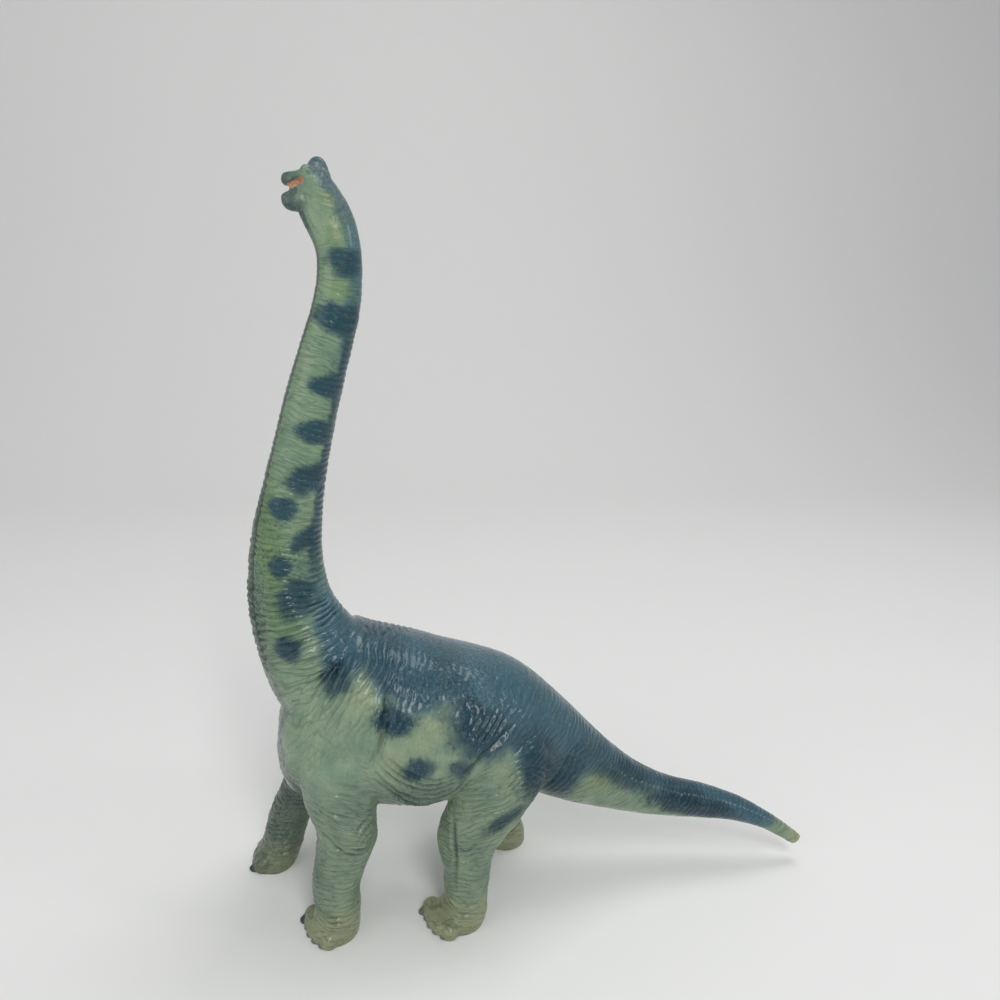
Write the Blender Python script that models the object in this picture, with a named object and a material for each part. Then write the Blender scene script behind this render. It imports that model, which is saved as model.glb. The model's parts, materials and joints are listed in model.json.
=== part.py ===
# A long-necked dinosaur figure in soft vinyl, walking, with its neck held high.
# It is moulded as nine hollow or solid skins, which plug into each other and are glued and painted over.
# Metres, +Z up, the head towards -X, the figure's left side towards -Y.
# Before the last step X is zero at the front of the chest, Y at the spine and Z on the ground.

import math

import bmesh
import bpy
from mathutils import Matrix, Vector

# Driving sizes of the animal's form
belly_height = 0.0525
trunk_length = 0.125
trunk_depth = 0.086
trunk_half_width = 0.040
tail_length = 0.140
tail_half_width = 0.028
tail_swing = 0.012
neck_rise = 0.180
neck_reach = 0.050
neck_half_width = 0.018
head_length = 0.024
head_height = 0.0205
head_half_width = 0.0066
front_leg_height = 0.100
front_leg_half_width = 0.013
hind_leg_height = 0.100
hind_leg_half_width = 0.013
leg_spread = 0.0275
front_stride = 0.031
hind_stride = 0.0318

# Driving sizes of the moulding
skin_wall = 0.0030
sole_wall = 0.0035
glue_gap = 0.0003
plug_wall = 0.0025
plug_reach = 0.0075
leg_plug_radius = 0.0070
neck_plug_radius = 0.0100
tail_plug_radius = 0.0085
head_plug_radius = 0.0036
head_plug_reach = 0.0060
jaw_peg_radius = 0.0012
jaw_peg_reach = 0.0025
key_width = 0.0024
key_height = 0.0014

# Fineness of the surfaces
body_grain = 0.0010
body_faces = 5600
head_grain = 0.0005
head_faces = 1500
soften_factor = 0.5
soften_rounds = 6
ring_sides = 28
cavity_sides = 12
plug_sides = 16
rings_between = 3
region_reach = 0.4
ground_overrun = 0.004
cut_overrun = 0.001
weld_distance = 0.000002

left = -1
right = 1


def clear_scene():
    for old in list(bpy.data.objects):
        bpy.data.objects.remove(old, do_unlink=True)


# Stations: the centre of a section, and its two half axes

def profile_stations(rows, start, size, half_width, swing=0.0):
    """Sections of a form that is even on both sides, each from its upper and its lower profile point."""
    stations = []
    first_x = rows[0][0]
    span = rows[-1][0] - first_x
    for upper_x, upper_z, lower_x, lower_z, width in rows:
        upper = Vector((start[0] + upper_x * size[0], 0, start[1] + upper_z * size[1]))
        lower = Vector((start[0] + lower_x * size[0], 0, start[1] + lower_z * size[1]))
        along = (upper_x - first_x) / span
        centre = (upper + lower) / 2
        centre.y = -swing * along * along
        stations.append((centre, (upper - lower) / 2, Vector((0, width * half_width, 0))))
    return stations


def leg_stations(rows, hip_x, height, half_width, stride, side):
    """Level sections down a leg, each from its front and back points, leaning by the stride of that leg."""
    stations = []
    for level, front, back, width, spread in rows:
        middle = hip_x + stride * (1 - level) + (front + back) / 2 * half_width
        centre = Vector((middle, side * spread * leg_spread, level * height))
        depth = Vector(((back - front) / 2 * half_width, 0, 0))
        stations.append((centre, depth, Vector((0, width * half_width, 0))))
    return stations


def between(stations, steps):
    """Fill in rings on a smooth curve through the stations."""
    filled = []
    last = len(stations) - 1
    for index in range(last):
        around = [stations[max(0, min(last, index + offset))] for offset in (-1, 0, 1, 2)]
        for step in range(steps):
            t = step / steps
            filled.append(tuple(curve_point([row[part] for row in around], t) for part in range(3)))
    filled.append(stations[last])
    return filled


def curve_point(four, t):
    """A point on the Catmull-Rom curve from the second to the third of four points."""
    before, start, end, after = four
    return 0.5 * (2 * start + (end - before) * t
                  + (2 * before - 5 * start + 4 * end - after) * t ** 2
                  + (3 * start - before - 3 * end + after) * t ** 3)


def shrunk(stations, wall):
    """The same sections with both half axes shorter by one wall."""
    return [(centre, depth * max(0.0, 1 - wall / depth.length), width * max(0.0, 1 - wall / width.length))
            for centre, depth, width in stations]


# Meshes

def sweep(mesh, stations, sides):
    """Skin the sections with one closed tube."""
    rings = []
    for centre, depth, width in stations:
        ring = bmesh.ops.create_circle(mesh, cap_ends=False, segments=sides, radius=1)["verts"]
        along = depth.cross(width)
        place = Matrix((depth, width, along)).transposed().to_4x4()
        place.translation = centre
        bmesh.ops.transform(mesh, matrix=place, verts=ring)
        rings.append(list({edge for vert in ring for edge in vert.link_edges}))
    for ring, following in zip(rings, rings[1:]):
        bmesh.ops.bridge_loops(mesh, edges=ring + following)
    bmesh.ops.holes_fill(mesh, edges=rings[0] + rings[-1], sides=sides)
    # Two like tubes split their faces alike, so a seam's two sides stay one gap apart
    bmesh.ops.triangulate(mesh, faces=mesh.faces, quad_method="FIXED")


def ball(mesh, centre, half_sizes):
    """Add an ellipsoid."""
    place = Matrix.Translation(centre) @ Matrix.Diagonal((*half_sizes, 1))
    bmesh.ops.create_uvsphere(mesh, u_segments=ring_sides, v_segments=cavity_sides, radius=1, matrix=place)


def rod(mesh, foot, axis, radius, reach, sides):
    """Add a plain round rod that starts at its foot."""
    place = Matrix.Translation(foot + axis * reach / 2) @ axis.to_track_quat("Z", "Y").to_matrix().to_4x4()
    bmesh.ops.create_cone(mesh, cap_ends=True, segments=sides, radius1=radius, radius2=radius,
                          depth=reach, matrix=place)


def slab(mesh, foot, axis, width, depth, reach, offset=0.0):
    """Add a square bar that starts at its foot and runs along the axis."""
    turn = axis.to_track_quat("Z", "Y").to_matrix().to_4x4()
    place = (Matrix.Translation(foot) @ turn @ Matrix.Translation((0, offset, reach / 2))
             @ Matrix.Diagonal((width, depth, reach, 1)))
    bmesh.ops.create_cube(mesh, size=1, matrix=place)


def as_object(mesh, name):
    bmesh.ops.recalc_face_normals(mesh, faces=mesh.faces)
    data = bpy.data.meshes.new(name)
    mesh.to_mesh(data)
    mesh.free()
    piece = bpy.data.objects.new(name, data)
    bpy.context.scene.collection.objects.link(piece)
    return piece


def guide(name, *shapes):
    """A hidden solid that cuts or joins others; each shape is a function and what it takes."""
    mesh = bmesh.new()
    for make, *values in shapes:
        make(mesh, *values)
    piece = as_object(mesh, name)
    piece.hide_render = True
    piece.display_type = "WIRE"
    return piece


def combine(piece, operation, other):
    step = piece.modifiers.new(operation.lower() + "_" + other.name, "BOOLEAN")
    step.operation = operation
    step.solver = "EXACT"
    step.object = other


def settled(piece):
    """Replace an object's mesh by what its modifiers make of it, with no two corners in one place."""
    view = bpy.context.evaluated_depsgraph_get()
    data = bpy.data.meshes.new_from_object(piece.evaluated_get(view), depsgraph=view)
    piece.modifiers.clear()
    mesh = bmesh.new()
    mesh.from_mesh(data)
    bmesh.ops.remove_doubles(mesh, verts=mesh.verts, dist=weld_distance)
    bmesh.ops.dissolve_degenerate(mesh, edges=mesh.edges, dist=weld_distance)
    mesh.to_mesh(data)
    mesh.free()
    piece.data = data
    return piece


# Trunk and tail: upper x and z, lower x and z, half width, as shares of the trunk's and the tail's sizes

trunk_shares = (
    (0.004, 0.459, 0.000, 0.320, 0.15),
    (0.016, 0.576, 0.016, 0.203, 0.35),
    (0.052, 0.692, 0.060, 0.110, 0.60),
    (0.140, 0.850, 0.148, 0.055, 0.80),
    (0.262, 1.040, 0.260, 0.035, 0.93),
    (0.352, 1.012, 0.370, 0.024, 0.99),
    (0.496, 0.955, 0.500, 0.004, 1.00),
    (0.624, 0.890, 0.620, 0.025, 0.96),
    (0.745, 0.842, 0.740, 0.050, 0.90),
    (0.860, 0.785, 0.850, 0.040, 0.81),
    (0.965, 0.688, 0.945, 0.004, 0.69),
)
tail_root_share = 0.62
tail_height = belly_height + tail_root_share * trunk_depth
tail_shares = (
    (0.107, 0.885, 0.021, 0.450, 0.79),
    (0.207, 0.747, 0.114, 0.398, 0.66),
    (0.307, 0.625, 0.229, 0.353, 0.55),
    (0.407, 0.528, 0.336, 0.314, 0.46),
    (0.521, 0.457, 0.479, 0.278, 0.39),
    (0.657, 0.410, 0.614, 0.258, 0.33),
    (0.793, 0.342, 0.735, 0.242, 0.27),
    (0.896, 0.266, 0.850, 0.198, 0.19),
    (0.968, 0.204, 0.928, 0.148, 0.15),
    (1.038, 0.134, 1.002, 0.088, 0.10),
)


def trunk_stations():
    trunk = profile_stations(trunk_shares, (0, belly_height), (trunk_length, trunk_depth), trunk_half_width)
    tail = profile_stations(tail_shares, (trunk_length, 0), (tail_length, tail_height), tail_half_width,
                            swing=tail_swing)
    return trunk + tail


# Neck: back x and z, throat x and z, half width, as shares of its reach and rise above the withers

withers_height = belly_height + trunk_depth
neck_shares = (
    (1.070, -0.103, 0.300, -0.269, 1.30),
    (0.830, -0.015, 0.040, -0.186, 1.30),
    (0.660, 0.040, -0.085, -0.103, 1.18),
    (0.530, 0.092, -0.170, -0.008, 1.03),
    (0.465, 0.147, -0.215, 0.081, 0.92),
    (0.434, 0.219, -0.200, 0.175, 0.84),
    (0.440, 0.297, -0.150, 0.275, 0.79),
    (0.470, 0.386, -0.060, 0.375, 0.72),
    (0.536, 0.497, 0.050, 0.492, 0.67),
    (0.616, 0.603, 0.160, 0.608, 0.61),
    (0.700, 0.703, 0.260, 0.697, 0.57),
    (0.760, 0.781, 0.360, 0.781, 0.52),
    (0.780, 0.853, 0.414, 0.853, 0.48),
    (0.770, 0.914, 0.410, 0.908, 0.46),
    (0.730, 0.969, 0.340, 0.953, 0.44),
    (0.660, 1.014, 0.285, 0.983, 0.41),
)


def neck_stations():
    return profile_stations(neck_shares, (0, withers_height), (neck_reach, neck_rise), neck_half_width)


# Head: shares of its length behind the snout and of its height above the chin

head_front_share = 0.16
head_base_share = -0.0111
skull_shares = (
    (1.06, 0.17, 0.56, -0.27, 1.06),
    (0.875, 0.49, 0.48, -0.02, 1.00),
    (0.69, 0.71, 0.40, 0.20, 0.91),
    (0.51, 0.80, 0.33, 0.42, 0.82),
    (0.35, 0.75, 0.27, 0.54, 0.72),
    (0.20, 0.70, 0.17, 0.49, 0.62),
    (0.09, 0.68, 0.08, 0.42, 0.54),
    (0.03, 0.65, 0.03, 0.45, 0.42),
    (0.00, 0.57, 0.00, 0.51, 0.20),
)
jaw_shares = (
    (0.52, 0.22, 0.44, -0.12, 0.83),
    (0.35, 0.34, 0.29, -0.03, 0.72),
    (0.19, 0.355, 0.18, -0.02, 0.60),
    (0.07, 0.33, 0.08, 0.01, 0.48),
    (-0.01, 0.27, 0.01, 0.10, 0.28),
)
mouth_shares = (
    (0.37, 0.60, 0.33, 0.25, 0.60),
    (0.25, 0.56, 0.22, 0.30, 0.45),
    (0.13, 0.48, 0.13, 0.33, 0.36),
)
crest_place_shares = (0.5725, 0.0, 0.712)
crest_half_shares = (0.165, 0.50, 0.280)
brow_place_shares = (0.395, 0.52, 0.730)
brow_half_share = 0.105


def head_start():
    """The plumb line through the snout, and the level of the chin."""
    return head_front_share * neck_reach, withers_height + (1 + head_base_share) * neck_rise


def head_point(shares):
    start = head_start()
    return Vector((start[0] + shares[0] * head_length, shares[1] * head_half_width,
                   start[1] + shares[2] * head_height))


def head_form(mesh):
    for rows in (skull_shares, jaw_shares, mouth_shares):
        stations = profile_stations(rows, head_start(), (head_length, head_height), head_half_width)
        sweep(mesh, between(stations, rings_between), ring_sides)
    crest_half = (crest_half_shares[0] * head_length, crest_half_shares[1] * head_half_width,
                  crest_half_shares[2] * head_height)
    ball(mesh, head_point(crest_place_shares), crest_half)
    for side in (left, right):
        along, across, up = brow_place_shares
        ball(mesh, head_point((along, side * across, up)), [brow_half_share * head_height] * 3)


# Legs: level, front, back, half width, spread from the spine, as shares of the leg's own sizes

front_leg_shares = (
    (1.04, -0.95, 0.65, 0.85, 0.66),
    (0.98, -1.35, 1.00, 1.08, 0.72),
    (0.90, -1.54, 1.13, 1.20, 0.80),
    (0.80, -1.50, 1.15, 1.18, 0.88),
    (0.70, -1.38, 1.12, 1.13, 0.95),
    (0.63, -1.19, 1.05, 1.08, 0.98),
    (0.56, -1.00, 1.06, 1.03, 1.00),
    (0.50, -0.98, 1.08, 1.00, 1.00),
    (0.40, -1.06, 0.84, 0.95, 1.00),
    (0.30, -1.15, 0.58, 0.89, 1.00),
    (0.20, -1.14, 0.50, 0.85, 1.00),
    (0.12, -1.08, 0.53, 0.90, 0.97),
    (0.06, -1.17, 0.52, 0.99, 0.94),
    (0.00, -1.20, 0.48, 0.98, 0.92),
    (-0.04, -1.16, 0.42, 0.94, 0.92),
)
hind_leg_shares = (
    (1.04, -0.60, 0.60, 0.75, 0.50),
    (0.98, -0.85, 1.05, 1.00, 0.58),
    (0.90, -1.15, 1.38, 1.16, 0.70),
    (0.80, -1.45, 1.52, 1.22, 0.80),
    (0.70, -1.80, 1.22, 1.22, 0.90),
    (0.62, -2.10, 0.82, 1.17, 0.96),
    (0.55, -2.37, 0.46, 1.10, 1.00),
    (0.48, -2.50, 0.08, 1.00, 1.00),
    (0.40, -2.46, -0.36, 0.92, 1.00),
    (0.30, -2.26, -0.50, 0.86, 1.00),
    (0.20, -2.22, -0.56, 0.83, 1.00),
    (0.11, -2.20, -0.60, 0.90, 0.99),
    (0.06, -2.36, -0.58, 1.00, 0.98),
    (0.00, -2.56, -0.68, 1.00, 0.98),
    (-0.04, -2.54, -0.76, 0.96, 0.98),
)
shoulder_share = 0.244
hip_share = 0.836
# Toes stand in a row across the front of the foot, which turns out; all as shares of the leg's half width
toe_count = 5
toe_step_share = 0.37
toe_radius_share = 0.30
nail_half_shares = (0.17, 0.13, 0.17)
nail_drop_share = 0.10
toe_level_share = 0.22
toe_curve_share = 0.020
front_left_toe_share = 0.72
front_right_toe_share = 0.50
hind_toe_share = 0.94
left_turn_out = 22
right_turn_out = 8

legs = {
    "front_left_leg": (front_leg_shares, shoulder_share, front_leg_height, front_leg_half_width, 0.0, left,
                       front_left_toe_share, left_turn_out),
    "front_right_leg": (front_leg_shares, shoulder_share, front_leg_height, front_leg_half_width,
                        -front_stride, right, front_right_toe_share, right_turn_out),
    "hind_left_leg": (hind_leg_shares, hip_share, hind_leg_height, hind_leg_half_width, 0.0, left,
                      hind_toe_share, left_turn_out),
    "hind_right_leg": (hind_leg_shares, hip_share, hind_leg_height, hind_leg_half_width, hind_stride, right,
                       hind_toe_share, right_turn_out),
}


def stations_of_leg(name):
    rows, place_share, height, half_width, stride, side = legs[name][:6]
    return leg_stations(rows, place_share * trunk_length, height, half_width, stride, side)


def toes(mesh, name):
    """Rounded toes with a blunt nail on each, in a shallow bow across the front of the foot."""
    half_width, side, ahead_share, turn_out = [legs[name][index] for index in (3, 5, 6, 7)]
    foot = stations_of_leg(name)[-2][0]
    turn = math.radians(turn_out)
    ahead = Vector((-math.cos(turn), side * math.sin(turn), 0))
    across = Vector((-ahead.y, ahead.x, 0))
    radius = toe_radius_share * half_width
    for number in range(toe_count):
        step = number - (toe_count - 1) / 2
        reach = (ahead_share - toe_curve_share * step * step) * half_width
        centre = foot + ahead * reach + across * step * toe_step_share * half_width
        centre.z = toe_level_share * half_width
        ball(mesh, centre, [radius] * 3)
        nail = centre + ahead * radius - Vector((0, 0, nail_drop_share * half_width))
        ball(mesh, nail, [share * half_width for share in nail_half_shares])


# The outer forms: the whole animal as one skin with flat soles, and the head once more with finer facets

head_neck_rings = 5


def fill_body(mesh):
    sweep(mesh, between(trunk_stations(), rings_between), ring_sides)
    sweep(mesh, between(neck_stations(), rings_between), ring_sides)
    head_form(mesh)
    for name in legs:
        sweep(mesh, between(stations_of_leg(name), rings_between), ring_sides)
        toes(mesh, name)


def fill_head(mesh):
    sweep(mesh, between(neck_stations()[-head_neck_rings:], rings_between), ring_sides)
    head_form(mesh)


def blended(name, fill, grain, faces):
    """Melt overlapping shapes into one soft skin with about so many triangles."""
    mesh = bmesh.new()
    fill(mesh)
    form = as_object(mesh, name)
    form.hide_render = True
    form.display_type = "WIRE"
    blend = form.modifiers.new("blend", "REMESH")
    blend.mode = "VOXEL"
    blend.voxel_size = grain
    soften = form.modifiers.new("soften", "SMOOTH")
    soften.factor = soften_factor
    soften.iterations = soften_rounds
    settled(form)
    thin = form.modifiers.new("thin", "DECIMATE")
    thin.ratio = faces / sum(len(face.vertices) - 2 for face in form.data.polygons)
    return settled(form)


def stand_flat(form):
    """Cut the soles off level with the ground."""
    down = Vector((0, 0, -1))
    breadth = region_reach * 2
    ground = guide("ground", (slab, Vector((0, 0, 0)), down, breadth, breadth, region_reach))
    combine(form, "DIFFERENCE", ground)
    return settled(form)


# Seams: each is the plane of one station, with a plug across it

neck_seam_index = 3
head_seam_index = 14
tail_seam_index = len(trunk_shares) + 1
key_root_share = 0.35
key_length_share = 0.8


def seam(station, facing):
    """The seam's centre and its direction towards the plugged piece."""
    centre, depth, width = station
    axis = depth.cross(width).normalized()
    return centre, axis * (1 if axis.dot(facing) > 0 else -1)


def beyond(name, centre, axis, start, breadth=region_reach):
    """Everything past a seam."""
    return guide(name, (slab, centre + axis * start, axis, breadth, breadth, region_reach))


def plug(piece, name, centre, axis, radius, reach, root):
    """Add a keyed plug that starts inside the piece and points away from it."""
    key_place = radius + key_height / 2 - key_root_share * key_height
    combine(piece, "UNION", guide(name, (rod, centre - axis * root, axis, radius, root + reach, plug_sides)))
    combine(piece, "UNION", guide(name + "_key", (slab, centre - axis * root, axis, key_width, key_height,
                                                  root + reach * key_length_share, key_place)))


def socket(piece, name, centre, axis, radius, reach):
    """Cut the plug's hole and keyway, one glue gap wider all round."""
    key_place = radius + key_height / 2 - key_root_share * key_height
    combine(piece, "DIFFERENCE", guide(name, (rod, centre - axis * cut_overrun, axis, radius + glue_gap,
                                              cut_overrun + reach + glue_gap, plug_sides)))
    combine(piece, "DIFFERENCE", guide(name + "_keyway",
                                       (slab, centre - axis * cut_overrun, axis, key_width + 2 * glue_gap,
                                        key_height + 2 * glue_gap,
                                        cut_overrun + reach * key_length_share + glue_gap, key_place)))


def bore(piece, name, centre, axis, radius, reach, root):
    """Open the plug, so that one hollow leads into the next."""
    combine(piece, "DIFFERENCE", guide(name, (rod, centre - axis * root, axis, radius - plug_wall,
                                              root + reach + cut_overrun, plug_sides)))


# Leg regions: from a slanting seam inside the shoulder or thigh down past the sole

seam_slant = 52
seam_rise_shares = {"front": 0.297, "hind": 0.308}
seam_place_shares = {"front": -0.16, "hind": 0.02}
seam_spread_share = 0.86
seam_half_length_shares = {"front": 1.70, "hind": 2.05}
seam_half_width_share = 2.60
seam_seat_share = 0.72
seam_shoulder_share = 0.42
knee_level_share = 0.40
region_half_share = 1.95


def leg_seam(name):
    """The centre and the two half axes of the oval where the leg meets the torso."""
    rows, place_share, height, half_width, stride, side = legs[name][:6]
    end = name.split("_")[0]
    rise = belly_height + seam_rise_shares[end] * trunk_depth
    slant = math.radians(seam_slant)
    lean = stride * (1 - rise / height)
    centre = Vector((place_share * trunk_length + seam_place_shares[end] * half_width + lean,
                     side * seam_spread_share * leg_spread, rise))
    depth = Vector((seam_half_length_shares[end] * half_width, 0, 0))
    width = Vector((0, side * math.cos(slant), math.sin(slant))) * seam_half_width_share * half_width
    return centre, depth, width * side


def leg_region(name, label, grow):
    """The space that the leg fills, grown by one clearance."""
    stations = stations_of_leg(name)
    half_width = legs[name][3]
    height = legs[name][2]
    centre, depth, width = leg_seam(name)
    foot = stations[-1][0].copy()
    foot.z = -ground_overrun
    knee = (centre + foot) / 2
    knee.z = knee_level_share * height
    near = min(range(len(stations)), key=lambda index: abs(stations[index][0].z - knee.z))
    knee.x = stations[near][0].x
    knee.y = stations[near][0].y
    reach = region_half_share * half_width + grow
    lift = depth.cross(width).normalized()
    lift = lift if lift.z > 0 else -lift
    depth = depth * (1 + grow / depth.length)
    width = width * (1 + grow / width.length)
    rings = [(centre + lift * grow, depth * seam_seat_share, width * seam_seat_share),
             (centre + lift * (grow - seam_shoulder_share * half_width), depth, width),
             (knee, Vector((reach, 0, 0)), Vector((0, reach, 0))),
             (foot, Vector((reach, 0, 0)), Vector((0, reach, 0)))]
    return guide(label, (sweep, rings, ring_sides))


def cavity(name, stations, sides=cavity_sides):
    return guide(name, (sweep, shrunk(stations, skin_wall), sides))


# Pieces

def piece_of(form, name, colour, roughness):
    piece = bpy.data.objects.new(name, form.data.copy())
    bpy.context.scene.collection.objects.link(piece)
    vinyl = bpy.data.materials.new(name + "_vinyl")
    vinyl.use_nodes = True
    shader = vinyl.node_tree.nodes["Principled BSDF"]
    shader.inputs["Base Color"].default_value = (*colour, 1)
    shader.inputs["Roughness"].default_value = roughness
    shader.inputs["Metallic"].default_value = 0
    piece.data.materials.clear()
    piece.data.materials.append(vinyl)
    return piece


sage = (0.21, 0.31, 0.20)
slate_blue = (0.05, 0.12, 0.16)
blue_grey = (0.10, 0.17, 0.18)
cream_green = (0.34, 0.36, 0.20)
vinyl_roughness = 0.35

up = Vector((0, 0, 1))
back = Vector((1, 0, 0))
tail_hollow_rings = 5
tail_space_share = 2.5


def make_torso(form):
    torso = piece_of(form, "torso", blue_grey, vinyl_roughness)
    neck_centre, neck_axis = seam(neck_stations()[neck_seam_index], up)
    tail_centre, tail_axis = seam(trunk_stations()[tail_seam_index], back)
    combine(torso, "DIFFERENCE", beyond("past_neck_seam", neck_centre, neck_axis, -glue_gap))
    combine(torso, "DIFFERENCE", beyond("past_tail_seam", tail_centre, tail_axis, -glue_gap,
                                        tail_space_share * tail_half_width))
    hollow = cavity("trunk_hollow", trunk_stations()[1:tail_seam_index + 1])
    neck_hollow = cavity("neck_root_hollow", neck_stations()[1:neck_seam_index + 1])
    inner_start = -glue_gap - skin_wall
    combine(hollow, "DIFFERENCE", beyond("past_tail_wall", tail_centre, tail_axis, inner_start))
    combine(neck_hollow, "DIFFERENCE", beyond("past_neck_wall", neck_centre, neck_axis, inner_start))
    for name in legs:
        combine(hollow, "DIFFERENCE", leg_region(name, name + "_wall_region", glue_gap + skin_wall))
        combine(torso, "DIFFERENCE", leg_region(name, name + "_gap_region", glue_gap))
    combine(torso, "DIFFERENCE", hollow)
    combine(torso, "DIFFERENCE", neck_hollow)
    socket(torso, "neck_socket", neck_centre, -neck_axis, neck_plug_radius, plug_reach)
    socket(torso, "tail_socket", tail_centre, -tail_axis, tail_plug_radius, plug_reach)
    for name in legs:
        centre, axis = seam(leg_seam(name), up)
        socket(torso, name + "_socket", centre, axis, leg_plug_radius, plug_reach)
    return torso


def make_neck(form):
    neck = piece_of(form, "neck", sage, vinyl_roughness)
    stations = neck_stations()
    low, low_axis = seam(stations[neck_seam_index], up)
    high, high_axis = seam(stations[head_seam_index], up)
    combine(neck, "INTERSECT", beyond("neck_space", low, low_axis, 0))
    combine(neck, "DIFFERENCE", beyond("past_head_seam", high, high_axis, -glue_gap))
    plug(neck, "neck_plug", low, -low_axis, neck_plug_radius, plug_reach, skin_wall)
    plug(neck, "head_plug", high, high_axis, head_plug_radius, head_plug_reach, skin_wall)
    hollow = cavity("neck_hollow", stations[neck_seam_index - 1:head_seam_index - 1])
    combine(hollow, "INTERSECT", beyond("neck_hollow_space", low, low_axis, skin_wall))
    combine(neck, "DIFFERENCE", hollow)
    bore(neck, "neck_bore", low, -low_axis, neck_plug_radius, plug_reach, skin_wall + cut_overrun)
    return neck


jaw_back_share = 0.37
jaw_top_share = 0.40
jaw_base_share = -0.26
jaw_peg_level_share = 0.14


def jaw_box(label, grow):
    """The space of the lower jaw, in front of the mouth's corner and below the mouth's gap."""
    start = head_start()
    corner = Vector((start[0] + jaw_back_share * head_length + grow, 0,
                     start[1] + (jaw_top_share + jaw_base_share) / 2 * head_height + grow / 2))
    tall = (jaw_top_share - jaw_base_share) * head_height + grow
    return guide(label, (slab, corner, -back, head_length, tall, head_length))


def make_head(form):
    head = piece_of(form, "head", blue_grey, vinyl_roughness)
    centre, axis = seam(neck_stations()[head_seam_index], up)
    combine(head, "INTERSECT", beyond("head_space", centre, axis, 0))
    combine(head, "DIFFERENCE", jaw_box("jaw_gap_box", glue_gap))
    socket(head, "head_socket", centre, axis, head_plug_radius, head_plug_reach)
    peg_foot = head_point((jaw_back_share, 0, jaw_peg_level_share))
    combine(head, "DIFFERENCE", guide("jaw_socket", (rod, peg_foot - back * cut_overrun, back,
                                                     jaw_peg_radius + glue_gap,
                                                     jaw_peg_reach + glue_gap + cut_overrun, cavity_sides)))
    return head


def make_jaw(form):
    jaw = piece_of(form, "lower_jaw", slate_blue, vinyl_roughness)
    combine(jaw, "INTERSECT", jaw_box("jaw_space", 0))
    peg_foot = head_point((jaw_back_share, 0, jaw_peg_level_share))
    combine(jaw, "UNION", guide("jaw_peg", (rod, peg_foot - back * cut_overrun, back, jaw_peg_radius,
                                            jaw_peg_reach + cut_overrun, cavity_sides)))
    return jaw


def make_tail(form):
    tail = piece_of(form, "tail", slate_blue, vinyl_roughness)
    stations = trunk_stations()
    centre, axis = seam(stations[tail_seam_index], back)
    combine(tail, "INTERSECT", beyond("tail_space", centre, axis, 0, tail_space_share * tail_half_width))
    plug(tail, "tail_plug", centre, -axis, tail_plug_radius, plug_reach, skin_wall)
    hollow = cavity("tail_hollow", stations[tail_seam_index - 1:tail_seam_index + tail_hollow_rings])
    combine(hollow, "INTERSECT", beyond("tail_hollow_space", centre, axis, skin_wall))
    combine(tail, "DIFFERENCE", hollow)
    bore(tail, "tail_bore", centre, -axis, tail_plug_radius, plug_reach, skin_wall + cut_overrun)
    return tail


def make_leg(form, name):
    leg = piece_of(form, name, cream_green, vinyl_roughness)
    centre, axis = seam(leg_seam(name), up)
    combine(leg, "INTERSECT", leg_region(name, name + "_region", 0))
    plug(leg, name + "_plug", centre, axis, leg_plug_radius, plug_reach, skin_wall)
    inside = [row for row in stations_of_leg(name) if row[0].z > 0]
    sole = inside[-1]
    inside[-1] = (Vector((sole[0].x, sole[0].y, sole_wall)), sole[1], sole[2])
    hollow = cavity(name + "_hollow", inside)
    combine(hollow, "DIFFERENCE", beyond(name + "_top_wall", centre, axis, -skin_wall))
    combine(leg, "DIFFERENCE", hollow)
    bore(leg, name + "_bore", centre, axis, leg_plug_radius, plug_reach, skin_wall + cut_overrun)
    return leg


def centre_on_ground(form, pieces):
    """Move the figure so that X and Y are zero in the middle of its footprint."""
    corners = [Vector(corner) for corner in form.bound_box]
    low = Vector([min(corner[axis] for corner in corners) for axis in range(3)])
    high = Vector([max(corner[axis] for corner in corners) for axis in range(3)])
    shift = Vector((-(low.x + high.x) / 2, -(low.y + high.y) / 2, 0))
    for piece in pieces:
        settled(piece)
        piece.data.transform(Matrix.Translation(shift))
        piece.data.shade_smooth()


clear_scene()
form = stand_flat(blended("form", fill_body, body_grain, body_faces))
head_skin = blended("head_skin", fill_head, head_grain, head_faces)
pieces = [make_torso(form), make_neck(form), make_head(head_skin), make_jaw(head_skin), make_tail(form)]
pieces += [make_leg(form, name) for name in legs]
centre_on_ground(form, pieces)
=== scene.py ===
# A long-necked dinosaur figure in glossy painted vinyl, walking, with its neck held high.
# Metres, +Z up, the head towards -X, the figure's left side towards -Y.

import json
import math

import bmesh
import bpy
import numpy as np
from mathutils import Matrix, Vector

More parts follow.
